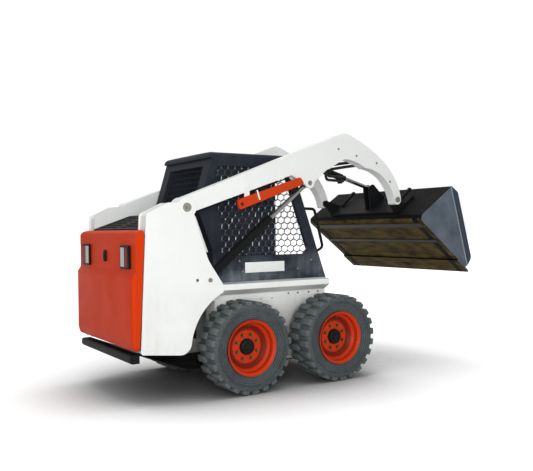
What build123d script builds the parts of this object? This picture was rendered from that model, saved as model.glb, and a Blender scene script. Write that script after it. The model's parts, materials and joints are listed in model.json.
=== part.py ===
"""Skid steer loader with its arms half raised, one solid or group of solids per piece."""
import os
from math import asin, cos, degrees, hypot, radians, sin

from build123d import *

os.makedirs("parts", exist_ok=True)

# Driving dimensions in millimetres. X runs forward to the bucket, Y to the left and Z up.
MID_X = -278
WHEELBASE = 900
TYRE_RADIUS = 376
TYRE_WIDTH = 264
TRACK_HALF = 615
RIM_RADIUS = 227
SEAT_RADIUS = 213
BEAD_HALF = 105
AXLE_RADIUS = 40
RUN_GAP = 0.4

# Body widths, each from the middle plane.
BODY_HALF = 640
PLATE = 8
FRAME_HALF = 496
WALL_HALF = 455
CASE_INNER = 300
CAB_HALF = 440
CAB_WALL = 40
CASE_TOP = 884
RAIL_TOP = 890

# Lift arm, with its joints in the side view.
PIVOT_X = MID_X - 970
PIVOT_Z = 1507
HINGE_X = MID_X + 1254
HINGE_Z = 1593
ARM_OUTER = 612
ARM_THICK = 100
ARM_INNER = ARM_OUTER - ARM_THICK
ARM_DROP = 38
PIVOT_PIN = 30
HINGE_PIN = 20

# Cylinders.
LIFT_Y = ARM_OUTER - ARM_THICK / 2
LIFT_BASE_X = MID_X - 775
LIFT_BASE_Z = 933
LIFT_EYE_X = MID_X + 230
LIFT_EYE_Z = 1726
LIFT_BARREL = 37
LIFT_ROD = 20
LIFT_PIN = 22
TILT_Y = -60
TILT_BASE_X = MID_X + 590
TILT_BASE_Z = 1955
TILT_EYE_X = MID_X + 1423
TILT_EYE_Z = 1721
TILT_BARREL = 34
TILT_ROD = 20
EYE_WIDTH = 50
EYE_GAP = 5
TILT_BASE_WIDTH = 72

# Bucket, in its own frame: the origin on the hinge pin, u along the floor and w square to it.
BUCKET_TIP = 37.8
BUCKET_HALF = 862
HEEL_U, HEEL_W = 130, -120
LIP_U = 974
TOP_U, TOP_W = 294, 385

REAR_AXLE_X = MID_X - WHEELBASE / 2
FRONT_AXLE_X = MID_X + WHEELBASE / 2


def across(half):
    """Side-view plane at the given distance left of the middle, facing right."""
    return Plane(origin=(0, half, 0), x_dir=(1, 0, 0), z_dir=(0, -1, 0))


def corner(sketch, x, z):
    """The sketch's corner nearest to a point of the side view."""
    return sketch.vertices().sort_by_distance((x, z, 0))[0]


# Tyre: carcass on its rim, a tread band of flats, and a ring of lugs on each half, half a pitch apart.
BAND_RADIUS = TYRE_RADIUS - 26
SIDEWALL_RADIUS = TYRE_RADIUS - 56
LUG_COUNT = 24
LUG_WIDE = 56
LUG_TALL = TYRE_RADIUS - BAND_RADIUS + 8
LUG_FLAT = (TYRE_RADIUS**2 - (LUG_WIDE / 2) ** 2) ** 0.5
LUG_TURN = degrees(asin(LUG_WIDE / 2 / TYRE_RADIUS))
with BuildPart() as tyre_front_left:
    with BuildSketch(Plane.YZ.offset(FRONT_AXLE_X)):
        with BuildLine():
            Polyline(
                (TRACK_HALF - BEAD_HALF, TYRE_RADIUS + SEAT_RADIUS),
                (TRACK_HALF + BEAD_HALF, TYRE_RADIUS + SEAT_RADIUS),
                (TRACK_HALF + BEAD_HALF, TYRE_RADIUS + RIM_RADIUS),
                (TRACK_HALF + TYRE_WIDTH / 2, TYRE_RADIUS + SIDEWALL_RADIUS),
                (TRACK_HALF - TYRE_WIDTH / 2, TYRE_RADIUS + SIDEWALL_RADIUS),
                (TRACK_HALF - BEAD_HALF, TYRE_RADIUS + RIM_RADIUS),
                close=True,
            )
        make_face()
    revolve(axis=Axis((FRONT_AXLE_X, 0, TYRE_RADIUS), (0, 1, 0)))
    with BuildSketch(across(TRACK_HALF)):
        with Locations((FRONT_AXLE_X, TYRE_RADIUS)):
            RegularPolygon(BAND_RADIUS, 2 * LUG_COUNT, rotation=LUG_TURN + 90 / LUG_COUNT)
            Circle(SIDEWALL_RADIUS, mode=Mode.SUBTRACT)
    extrude(amount=TYRE_WIDTH / 2, both=True)
    for half, turn in ((-TYRE_WIDTH / 2, LUG_TURN), (TYRE_WIDTH / 2, LUG_TURN + 180 / LUG_COUNT)):
        with BuildSketch(across(TRACK_HALF)):
            with Locations((FRONT_AXLE_X, TYRE_RADIUS)):
                with PolarLocations(LUG_FLAT - LUG_TALL / 2, LUG_COUNT, start_angle=turn):
                    Rectangle(LUG_TALL, LUG_WIDE)
        extrude(amount=half)

# Rim: drop-centre barrel, rolled flanges and a dished disc on the axle flange.
DISC_Y = TRACK_HALF + 16
FLANGE = 15
with BuildPart() as rim_front_left:
    with BuildSketch(Plane.YZ.offset(FRONT_AXLE_X)):
        with BuildLine():
            Polyline(
                (TRACK_HALF - BEAD_HALF - FLANGE, TYRE_RADIUS + RIM_RADIUS),
                (TRACK_HALF - BEAD_HALF, TYRE_RADIUS + RIM_RADIUS),
                (TRACK_HALF - BEAD_HALF, TYRE_RADIUS + SEAT_RADIUS),
                (TRACK_HALF + BEAD_HALF, TYRE_RADIUS + SEAT_RADIUS),
                (TRACK_HALF + BEAD_HALF, TYRE_RADIUS + RIM_RADIUS),
                (TRACK_HALF + BEAD_HALF + FLANGE, TYRE_RADIUS + RIM_RADIUS),
                (TRACK_HALF + BEAD_HALF, TYRE_RADIUS + SEAT_RADIUS - 9),
                (TRACK_HALF + 66, TYRE_RADIUS + SEAT_RADIUS - 13),
                (DISC_Y + 10, TYRE_RADIUS + 152),
                (DISC_Y + 10, TYRE_RADIUS + 66),
                (DISC_Y, TYRE_RADIUS + 66),
                (DISC_Y, TYRE_RADIUS + 150),
                (TRACK_HALF + 52, TYRE_RADIUS + SEAT_RADIUS - 9),
                (TRACK_HALF - BEAD_HALF, TYRE_RADIUS + SEAT_RADIUS - 9),
                close=True,
            )
        make_face()
    revolve(axis=Axis((FRONT_AXLE_X, 0, TYRE_RADIUS), (0, 1, 0)))

# Axle: shaft in its housing, wheel flange and the hub that shows through the disc.
SHAFT_IN = WALL_HALF + 15
with BuildPart() as axle_front_left:
    with BuildSketch(Plane.YZ.offset(FRONT_AXLE_X)):
        with BuildLine():
            Polyline(
                (SHAFT_IN, TYRE_RADIUS),
                (SHAFT_IN, TYRE_RADIUS + AXLE_RADIUS),
                (DISC_Y - 20, TYRE_RADIUS + AXLE_RADIUS),
                (DISC_Y - 20, TYRE_RADIUS + 128),
                (DISC_Y, TYRE_RADIUS + 128),
                (DISC_Y, TYRE_RADIUS + 62),
                (DISC_Y + 30, TYRE_RADIUS + 62),
                (DISC_Y + 37, TYRE_RADIUS + 50),
                (DISC_Y + 37, TYRE_RADIUS),
                close=True,
            )
        make_face()
    revolve(axis=Axis((FRONT_AXLE_X, 0, TYRE_RADIUS), (0, 1, 0)))

# Chain case: closed drive housing with the two axle tubes.
CASE_REAR = MID_X - 640
CASE_FRONT = MID_X + 640
BOLT_Z = 732
BOLT_SPACING = 112
BOLT_HOLE = 8
BOLT_DEPTH = 40
with BuildPart() as chaincase_left:
    with BuildSketch(across(CASE_INNER)):
        with BuildLine():
            Polyline(
                (CASE_REAR, 195),
                (MID_X + 570, 195),
                (CASE_FRONT, 265),
                (CASE_FRONT, 470),
                (MID_X + 495, 640),
                (MID_X + 495, CASE_TOP),
                (CASE_REAR, CASE_TOP),
                close=True,
            )
        make_face()
    extrude(amount=CASE_INNER - WALL_HALF)
    with BuildSketch(across(WALL_HALF)):
        with Locations((FRONT_AXLE_X, TYRE_RADIUS), (REAR_AXLE_X, TYRE_RADIUS)):
            Circle(64)
    extrude(amount=WALL_HALF - DISC_Y + 40)
    with BuildSketch(across(SHAFT_IN - 4)):
        with Locations((FRONT_AXLE_X, TYRE_RADIUS), (REAR_AXLE_X, TYRE_RADIUS)):
            Circle(AXLE_RADIUS + RUN_GAP)
    extrude(amount=-200, mode=Mode.SUBTRACT)
    with BuildSketch(across(WALL_HALF)):
        with Locations((MID_X - 187, BOLT_Z), (MID_X - 187 + BOLT_SPACING, BOLT_Z)):
            Circle(BOLT_HOLE)
    extrude(amount=BOLT_DEPTH, mode=Mode.SUBTRACT)

# Belly pan: bent plate under the machine, wider behind the wheels.
PAN = 10
PAN_REAR = MID_X - 1345
PAN_STEP = MID_X - 900
with BuildPart() as belly_pan:
    with BuildSketch(across(0)):
        with BuildLine():
            Polyline(
                (PAN_STEP, 215),
                (CASE_REAR, 195),
                (MID_X + 570, 195),
                (CASE_FRONT, 265),
                (CASE_FRONT, 470),
                (CASE_FRONT + PAN, 470),
                (CASE_FRONT + PAN, 265 - 4),
                (MID_X + 570 + 4, 195 - PAN),
                (CASE_REAR, 195 - PAN),
                (PAN_STEP, 215 - PAN),
                close=True,
            )
        make_face()
    extrude(amount=WALL_HALF, both=True)
    with BuildSketch(across(0)):
        with BuildLine():
            Polyline(
                (PAN_REAR, 392),
                (PAN_STEP, 215),
                (PAN_STEP, 215 - PAN),
                (PAN_REAR, 392 - PAN),
                close=True,
            )
        make_face()
    extrude(amount=FRAME_HALF, both=True)

# Floor pan: footwell, seat box and firewall between the chain cases.
with BuildPart() as floor_pan:
    with BuildSketch(across(0)):
        with BuildLine():
            Polyline(
                (CASE_FRONT, 340),
                (MID_X + 170, 340),
                (MID_X + 60, 640),
                (MID_X - 560, 640),
                (CASE_REAR, 860),
                (CASE_REAR, CASE_TOP),
                (CASE_REAR + 9, CASE_TOP),
                (CASE_REAR + 9, 862),
                (MID_X - 554, 648),
                (MID_X + 66, 648),
                (MID_X + 176, 348),
                (CASE_FRONT, 348),
                close=True,
            )
        make_face()
    extrude(amount=CASE_INNER, both=True)

# Fender: folded sheet from the chain case out to the top rail.
SHEET = 6
with BuildPart() as fender_left:
    with BuildSketch(Plane.YZ.offset(MID_X - 657)):
        with BuildLine():
            Polyline(
                (WALL_HALF, 745),
                (WALL_HALF + SHEET, 745),
                (WALL_HALF + SHEET, 786),
                (BODY_HALF, 844),
                (BODY_HALF, RAIL_TOP),
                (CAB_HALF + 2, RAIL_TOP),
                (CAB_HALF + 2, CASE_TOP),
                (BODY_HALF - SHEET, CASE_TOP),
                (BODY_HALF - SHEET, 848),
                (WALL_HALF, 792),
                close=True,
            )
        make_face()
    extrude(amount=657 + 495)
    with BuildSketch(Plane.XY.offset(700)):
        with BuildLine():
            Polyline(
                (MID_X + 409, BODY_HALF),
                (MID_X + 600, BODY_HALF + 20),
                (MID_X + 600, WALL_HALF),
                (MID_X + 495, WALL_HALF),
                close=True,
            )
        make_face()
    extrude(amount=300, mode=Mode.SUBTRACT)

# Upright: outer and inner plates, rear web, tab ahead of the inner plate and the two pins it carries.
ARCH_RADIUS = TYRE_RADIUS + 124
UPRIGHT_FOOT = 368
BOSS = 80
with BuildPart() as upright:
    with BuildSketch(across(BODY_HALF)) as upright_face:
        with BuildLine():
            Polyline(
                (MID_X - 1367, 403),
                (MID_X - 1311, 1458),
                (MID_X - 1131, PIVOT_Z + 35),
                (PIVOT_X, PIVOT_Z + BOSS / 2),
                (MID_X - 915, 1470),
                (MID_X - 790, 1090),
                (MID_X - 657, RAIL_TOP),
                (MID_X - 657, 800),
                (MID_X - 800, UPRIGHT_FOOT),
                (MID_X - 1044, UPRIGHT_FOOT),
                close=True,
            )
        make_face()
        fillet(corner(upright_face, MID_X - 790, 1090), 260)
        fillet(corner(upright_face, MID_X - 1311, 1458), 30)
        fillet(corner(upright_face, MID_X - 1367, 403), 24)
        with Locations((PIVOT_X, PIVOT_Z)):
            Circle(BOSS)
        with Locations((REAR_AXLE_X, TYRE_RADIUS)):
            Circle(ARCH_RADIUS, mode=Mode.SUBTRACT)
        fillet(corner(upright_face, REAR_AXLE_X - ARCH_RADIUS, UPRIGHT_FOOT), 90)
    extrude(amount=PLATE)
    with BuildSketch(across(FRAME_HALF + PLATE)):
        add(upright_face.sketch_local)
    extrude(amount=PLATE)
    with BuildSketch(across(BODY_HALF)):
        with Locations((MID_X - 888, 937)):
            Circle(13)
    extrude(amount=PLATE, mode=Mode.SUBTRACT)
    with BuildSketch(across(FRAME_HALF + PLATE)):
        with BuildLine():
            Polyline(
                (MID_X - 940, 1440),
                (MID_X - 830, 1440),
                (MID_X - 720, 1150),
                (MID_X - 860, 1150),
                close=True,
            )
        make_face()
    extrude(amount=PLATE)
    with BuildSketch(across(BODY_HALF - PLATE)):
        with BuildLine():
            Polyline(
                (MID_X - 1355, 410),
                (MID_X - 1299, 1440),
                (MID_X - 1289, 1440),
                (MID_X - 1345, 410),
                close=True,
            )
        make_face()
    extrude(amount=BODY_HALF - FRAME_HALF - PLATE)
    with BuildSketch(across(BODY_HALF)):
        with Locations((PIVOT_X, PIVOT_Z)):
            Circle(PIVOT_PIN)
        with Locations((LIFT_BASE_X, LIFT_BASE_Z)):
            Circle(LIFT_PIN)
    extrude(amount=BODY_HALF - FRAME_HALF)

# Engine: one plain block on its cross-beam.
with BuildPart() as engine:
    with Locations((MID_X - 970, 0, 790)):
        Box(520, 520, 740)
    with Locations((MID_X - 970, 0, 440)):
        Box(90, 2 * FRAME_HALF, 60)

# Rear bumper bar under the tailgate.
with BuildPart() as rear_bumper:
    with BuildSketch(across(0)):
        with BuildLine():
            Polyline(
                (PAN_REAR, 326),
                (PAN_REAR, 392),
                (PAN_REAR - 66, 392),
                (PAN_REAR - 78, 380),
                (PAN_REAR - 78, 344),
                (PAN_REAR - 60, 326),
                close=True,
            )
        make_face()
    extrude(amount=560, both=True)

# Rear grille: louvred top cover between the uprights.
GRILLE_REAR = MID_X - 1322
GRILLE_MID = MID_X - 985
GRILLE_FRONT = MID_X - 800
SLAT_PITCH = 44
STRAP = 70
with BuildPart() as rear_grille:
    with BuildSketch(across(0)):
        with BuildLine():
            Polyline(
                (GRILLE_REAR, 1346),
                (GRILLE_MID, 1464),
                (GRILLE_FRONT, 1470),
                (GRILLE_FRONT, 1450),
                (GRILLE_MID, 1443),
                (GRILLE_REAR, 1325),
                close=True,
            )
        make_face()
    extrude(amount=FRAME_HALF, both=True)
    slope = Plane(
        origin=((GRILLE_REAR + GRILLE_MID) / 2, 0, (1346 + 1464) / 2),
        x_dir=(0, 1, 0),
        z_dir=(1346 - 1464, 0, GRILLE_MID - GRILLE_REAR),
    )
    with BuildSketch(slope):
        with GridLocations(FRAME_HALF, SLAT_PITCH, 2, 7):
            Rectangle(FRAME_HALF - STRAP, SLAT_PITCH / 2)
    extrude(amount=-60, mode=Mode.SUBTRACT)

# Tailgate: deep pressed pan, open to the engine side, with two hinge knuckles on the left.
GATE_FRONT_TOP = MID_X - 1326
GATE_FRONT_LOW = MID_X - 1374
GATE_LAMP = MID_X - 1396
GATE_REAR = MID_X - 1432
GATE_LOW = 425
GATE_TOP = 1335
GATE_SKIN = 12
GATE_HINGE_X = MID_X - 1320
GATE_HINGE_Y = BODY_HALF + 14
KNUCKLE = 13
KNUCKLE_PIN = 6
HINGE_TALL = 70
HINGE_HEIGHTS = (560, 1180)
GATE_CORNER = 50
GATE_EDGE = 30
with BuildSketch(across(0)) as gate_profile:
    with BuildLine():
        Polyline(
            (GATE_FRONT_LOW, GATE_LOW),
            (GATE_FRONT_TOP, GATE_TOP),
            (GATE_LAMP, GATE_TOP - 12),
            (GATE_LAMP, 1020),
            (GATE_REAR, 975),
            (GATE_REAR, GATE_LOW + 80),
            (MID_X - 1410, GATE_LOW + 8),
            close=True,
        )
    make_face()
    fillet(corner(gate_profile, GATE_LAMP, GATE_TOP - 12), 44)
    fillet(corner(gate_profile, GATE_LAMP, 1020), 40)
    fillet(corner(gate_profile, GATE_REAR, 975), 40)
    fillet(corner(gate_profile, GATE_REAR, GATE_LOW + 80), 60)
with BuildPart() as gate_hollow:
    extrude(gate_profile.sketch, amount=BODY_HALF - GATE_SKIN, both=True)
    with BuildSketch(Plane.YZ.offset(GATE_REAR)):
        with Locations((0, (GATE_LOW + GATE_TOP) / 2)):
            RectangleRounded(2 * (BODY_HALF - GATE_SKIN), GATE_TOP - GATE_LOW - 2 * GATE_SKIN, GATE_CORNER - GATE_SKIN)
    extrude(amount=GATE_FRONT_TOP - GATE_REAR, mode=Mode.INTERSECT)
    with BuildSketch():
        with Locations((GATE_FRONT_TOP, 0)):
            RectangleRounded(2 * (GATE_FRONT_TOP - GATE_REAR), 2 * (BODY_HALF - GATE_SKIN), GATE_EDGE - GATE_SKIN)
    extrude(amount=GATE_TOP, mode=Mode.INTERSECT)
with BuildPart() as tailgate:
    extrude(gate_profile.sketch, amount=BODY_HALF, both=True)
    with BuildSketch(Plane.YZ.offset(GATE_REAR)):
        with Locations((0, (GATE_LOW + GATE_TOP) / 2)):
            RectangleRounded(2 * BODY_HALF, GATE_TOP - GATE_LOW, GATE_CORNER)
    extrude(amount=GATE_FRONT_TOP - GATE_REAR, mode=Mode.INTERSECT)
    with BuildSketch():
        with Locations((GATE_FRONT_TOP, 0)):
            RectangleRounded(2 * (GATE_FRONT_TOP - GATE_REAR), 2 * BODY_HALF, GATE_EDGE)
    extrude(amount=GATE_TOP, mode=Mode.INTERSECT)
    with Locations((GATE_SKIN, 0, 0)):
        add(gate_hollow.part, mode=Mode.SUBTRACT)
    for z in HINGE_HEIGHTS:
        with BuildSketch(Plane.XY.offset(z)):
            with BuildLine():
                Polyline(
                    (GATE_HINGE_X - 4, GATE_HINGE_Y + 8),
                    (GATE_HINGE_X - 4, GATE_HINGE_Y - 8),
                    (MID_X - 1372, BODY_HALF),
                    (MID_X - 1372, BODY_HALF - GATE_SKIN / 2),
                    (MID_X - 1394, BODY_HALF - GATE_SKIN / 2),
                    (MID_X - 1394, BODY_HALF + 6),
                    (GATE_HINGE_X - 30, GATE_HINGE_Y + 8),
                    close=True,
                )
            make_face()
            with Locations((GATE_HINGE_X, GATE_HINGE_Y)):
                Circle(KNUCKLE)
                Circle(KNUCKLE_PIN + RUN_GAP, mode=Mode.SUBTRACT)
        extrude(amount=HINGE_TALL)

# Tail lamps: bezels with two pockets each, on the flat upper panel of the tailgate.
LAMP_Y = 449
LAMP_Z = 1130
LAMP_SIZE = 180
LAMP_DEEP = 18
LENS_WIDE = 66
LENS_TALL = 148
LENS_APART = 78
lamp_face = Plane(origin=(GATE_LAMP, 0, LAMP_Z), x_dir=(0, -1, 0), z_dir=(-1, 0, 0))
with BuildPart() as tail_lamps:
    with BuildSketch(lamp_face):
        with GridLocations(2 * LAMP_Y, 1, 2, 1):
            RectangleRounded(LAMP_SIZE, LAMP_SIZE, 14)
    extrude(amount=LAMP_DEEP)
    with BuildSketch(lamp_face.offset(LAMP_DEEP / 2)):
        with GridLocations(2 * LAMP_Y, 1, 2, 1):
            with GridLocations(LENS_APART, 1, 2, 1):
                Rectangle(LENS_WIDE, LENS_TALL)
    extrude(amount=LAMP_DEEP, mode=Mode.SUBTRACT)

# Lamp lenses, clear inboard and red outboard, seated in the bezels.
with BuildPart() as clear_lenses:
    with BuildSketch(lamp_face.offset(LAMP_DEEP / 2)):
        with GridLocations(2 * LAMP_Y - LENS_APART, 1, 2, 1):
            Rectangle(LENS_WIDE - 1, LENS_TALL - 1)
    extrude(amount=LAMP_DEEP / 2 + 3)
with BuildPart() as red_lenses:
    with BuildSketch(lamp_face.offset(LAMP_DEEP / 2)):
        with GridLocations(2 * LAMP_Y + LENS_APART, 1, 2, 1):
            Rectangle(LENS_WIDE - 1, LENS_TALL - 1)
    extrude(amount=LAMP_DEEP / 2 + 3)

# Tailgate latch: upright escutcheon with its handle pocket.
with BuildPart() as tailgate_latch:
    with BuildSketch(lamp_face):
        SlotOverall(96, 48, rotation=90)
    extrude(amount=14)
    with BuildSketch(lamp_face.offset(6)):
        SlotOverall(70, 24, rotation=90)
    extrude(amount=14, mode=Mode.SUBTRACT)

# Cab sides: posts and lower panel in one pressing, with the window cut out and its rear half lined.
CAB_REAR_TOP = MID_X - 640
CAB_REAR_MID = MID_X - 770
CAB_FRONT_TOP = MID_X + 148
CAB_FRONT_LOW = MID_X + 522
CAB_EAVES = 1925
ROOF_TOP = 1980
WINDOW_LOW = 1106
WINDOW_HIGH = 1858
REAR_SILL = 1560
REAR_HEAD = 1860
REAR_HALF = 320
CAB_WAIST = 1490
LINING = 6
LINING_FRONT = MID_X + 3
REAR_RISE = CAB_EAVES - CAB_WAIST
REAR_RUN = CAB_REAR_TOP - CAB_REAR_MID
with BuildPart() as cab_side_left:
    with BuildSketch(across(CAB_HALF)):
        with BuildLine():
            Polyline(
                (CASE_REAR, CASE_TOP),
                (CASE_REAR, 1150),
                (CAB_REAR_MID, CAB_WAIST),
                (CAB_REAR_TOP, CAB_EAVES),
                (CAB_FRONT_TOP, CAB_EAVES),
                (CAB_FRONT_LOW, CASE_TOP),
                close=True,
            )
        make_face()
    extrude(amount=CAB_WALL)
    with BuildSketch(across(CAB_HALF)) as window_left:
        with BuildLine():
            Polyline(
                (MID_X - 555, WINDOW_LOW),
                (MID_X - 610, WINDOW_HIGH),
                (MID_X + 75, WINDOW_HIGH),
                (MID_X + 340, WINDOW_LOW),
                close=True,
            )
        make_face()
        fillet(window_left.vertices(), 45)
    extrude(amount=CAB_WALL, mode=Mode.SUBTRACT)
    with BuildSketch(across(CAB_HALF - CAB_WALL + LINING)):
        with BuildLine():
            Polyline(
                (MID_X - 625, WINDOW_LOW - 10),
                (MID_X - 625, WINDOW_HIGH + 10),
                (LINING_FRONT, WINDOW_HIGH + 10),
                (LINING_FRONT, WINDOW_LOW - 10),
                close=True,
            )
        make_face()
    extrude(amount=LINING)

# Side screen: crossed rods in the window, the uprights outside the level ones.
MESH = 50
WIRE = 5
with BuildPart() as side_screen_left:
    with BuildSketch(across(CAB_HALF - 12)):
        with Locations((MID_X - 135, (WINDOW_LOW + WINDOW_HIGH) / 2)):
            with GridLocations(MESH, MESH, 19, 1):
                Rectangle(WIRE, WINDOW_HIGH - WINDOW_LOW)
    extrude(amount=WIRE)
    with BuildSketch(across(CAB_HALF - 12 - WIRE - 0.5)):
        with Locations((MID_X - 135, (WINDOW_LOW + WINDOW_HIGH) / 2)):
            with GridLocations(MESH, MESH, 1, 14):
                Rectangle(960, WIRE)
    extrude(amount=WIRE)
    extrude(window_left.sketch, amount=CAB_WALL, mode=Mode.INTERSECT)

# Cab roof: crowned pressing, rounded at the eaves and more so at the rear.
ROOF_REAR = CAB_REAR_TOP - 20
ROOF_FRONT = CAB_FRONT_TOP + 40
with BuildPart() as cab_roof:
    with BuildSketch(Plane.YZ.offset(ROOF_REAR)) as roof_section:
        with BuildLine():
            Polyline((-CAB_HALF, ROOF_TOP - 8), (-CAB_HALF, CAB_EAVES), (CAB_HALF, CAB_EAVES), (CAB_HALF, ROOF_TOP - 8))
            ThreePointArc((CAB_HALF, ROOF_TOP - 8), (0, ROOF_TOP), (-CAB_HALF, ROOF_TOP - 8))
        make_face()
        fillet(roof_section.vertices().group_by(Axis.Y)[-1], 32)
    extrude(amount=ROOF_FRONT - ROOF_REAR)
    with BuildSketch(across(0)) as roof_profile:
        with Locations(((ROOF_REAR + ROOF_FRONT) / 2, CAB_EAVES)):
            Rectangle(ROOF_FRONT - ROOF_REAR, 2 * (ROOF_TOP - CAB_EAVES))
        fillet(corner(roof_profile, ROOF_REAR, ROOF_TOP), 46)
        fillet(corner(roof_profile, ROOF_FRONT, ROOF_TOP), 24)
    extrude(amount=CAB_HALF, both=True, mode=Mode.INTERSECT)

# Cab rear wall with the rear window.
with BuildPart() as cab_rear:
    with BuildSketch(across(0)):
        with BuildLine():
            Polyline(
                (CASE_REAR, CASE_TOP),
                (CASE_REAR, 1150),
                (CAB_REAR_MID, CAB_WAIST),
                (CAB_REAR_TOP, CAB_EAVES),
                (CAB_REAR_TOP + 40, CAB_EAVES),
                (CAB_REAR_MID + 36, CAB_WAIST),
                (CASE_REAR + 34, 1158),
                (CASE_REAR + 34, CASE_TOP),
                close=True,
            )
        make_face()
    extrude(amount=CAB_HALF - CAB_WALL, both=True)
    with Locations((CAB_REAR_TOP, 0, (REAR_SILL + REAR_HEAD) / 2)):
        Box(400, 2 * REAR_HALF, REAR_HEAD - REAR_SILL, mode=Mode.SUBTRACT)

# Rear screen: crossed rods in the rear window.
rear_slope = Plane(origin=(CAB_REAR_TOP + 8, 0, CAB_EAVES), x_dir=(0, 1, 0), z_dir=(-REAR_RISE, 0, REAR_RUN))
with BuildPart() as rear_screen:
    with BuildSketch(rear_slope):
        with Locations((0, 225)):
            with GridLocations(MESH, MESH, 12, 1):
                Rectangle(WIRE, 420)
    extrude(amount=-WIRE)
    with BuildSketch(rear_slope.offset(-WIRE - 0.5)):
        with Locations((0, 225)):
            with GridLocations(MESH, MESH, 1, 6):
                Rectangle(2 * REAR_HALF, WIRE)
    extrude(amount=-WIRE)
    with Locations((CAB_REAR_TOP, 0, (REAR_SILL + REAR_HEAD) / 2)):
        Box(400, 2 * REAR_HALF, REAR_HEAD - REAR_SILL, mode=Mode.INTERSECT)

# Seat: pan with a raised front edge and a back that leans to the rear, rounded all along.
with BuildPart() as seat:
    with BuildSketch(across(0)) as seat_profile:
        with BuildLine():
            Polyline(
                (MID_X + 20, 648),
                (MID_X + 20, 790),
                (MID_X - 60, 800),
                (MID_X - 290, 775),
                (MID_X - 395, 1260),
                (MID_X - 470, 1260),
                (MID_X - 410, 648),
                close=True,
            )
        make_face()
        fillet(corner(seat_profile, MID_X + 20, 790), 40)
        fillet(corner(seat_profile, MID_X - 290, 775), 60)
        fillet(corner(seat_profile, MID_X - 395, 1260), 30)
        fillet(corner(seat_profile, MID_X - 470, 1260), 30)
    extrude(amount=235, both=True)
    with BuildSketch(Plane.YZ.offset(MID_X - 480)):
        with Locations((0, (648 + 1260) / 2)):
            RectangleRounded(470, 1260 - 648, 50)
    extrude(amount=520, mode=Mode.INTERSECT)

# Steering levers beside the knees: bent tubes with thicker grips.
LEVER_X = MID_X + 250
LEVER_Y = 232
with BuildPart() as control_levers:
    with BuildLine() as lever_line:
        FilletPolyline(
            (LEVER_X + 50, LEVER_Y, 348),
            (LEVER_X + 40, LEVER_Y, 760),
            (LEVER_X, LEVER_Y, 850),
            (LEVER_X, LEVER_Y, 880),
            radius=60,
        )
    with BuildSketch(Plane(origin=lever_line.line @ 0, z_dir=(0, 0, 1))):
        RegularPolygon(14, 8)
    sweep()
    with BuildSketch(Plane.XY.offset(860)):
        with Locations((LEVER_X, LEVER_Y)):
            RegularPolygon(22, 8)
    extrude(amount=120)
    mirror(about=Plane.XZ)

# Grab handles on the front posts.
with BuildPart() as grab_handles:
    with BuildLine() as grab_line:
        FilletPolyline(
            (MID_X + 295, CAB_HALF - 20, 1510),
            (MID_X + 415, CAB_HALF - 20, 1506),
            (MID_X + 506, CAB_HALF - 20, 1160),
            (MID_X + 420, CAB_HALF - 20, 1117),
            radius=35,
        )
    with BuildSketch(Plane(origin=grab_line.line @ 0, z_dir=grab_line.line % 0)):
        RegularPolygon(13, 8)
    sweep()
    add(cab_side_left.part, mode=Mode.SUBTRACT)
    mirror(about=Plane.XZ)

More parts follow.
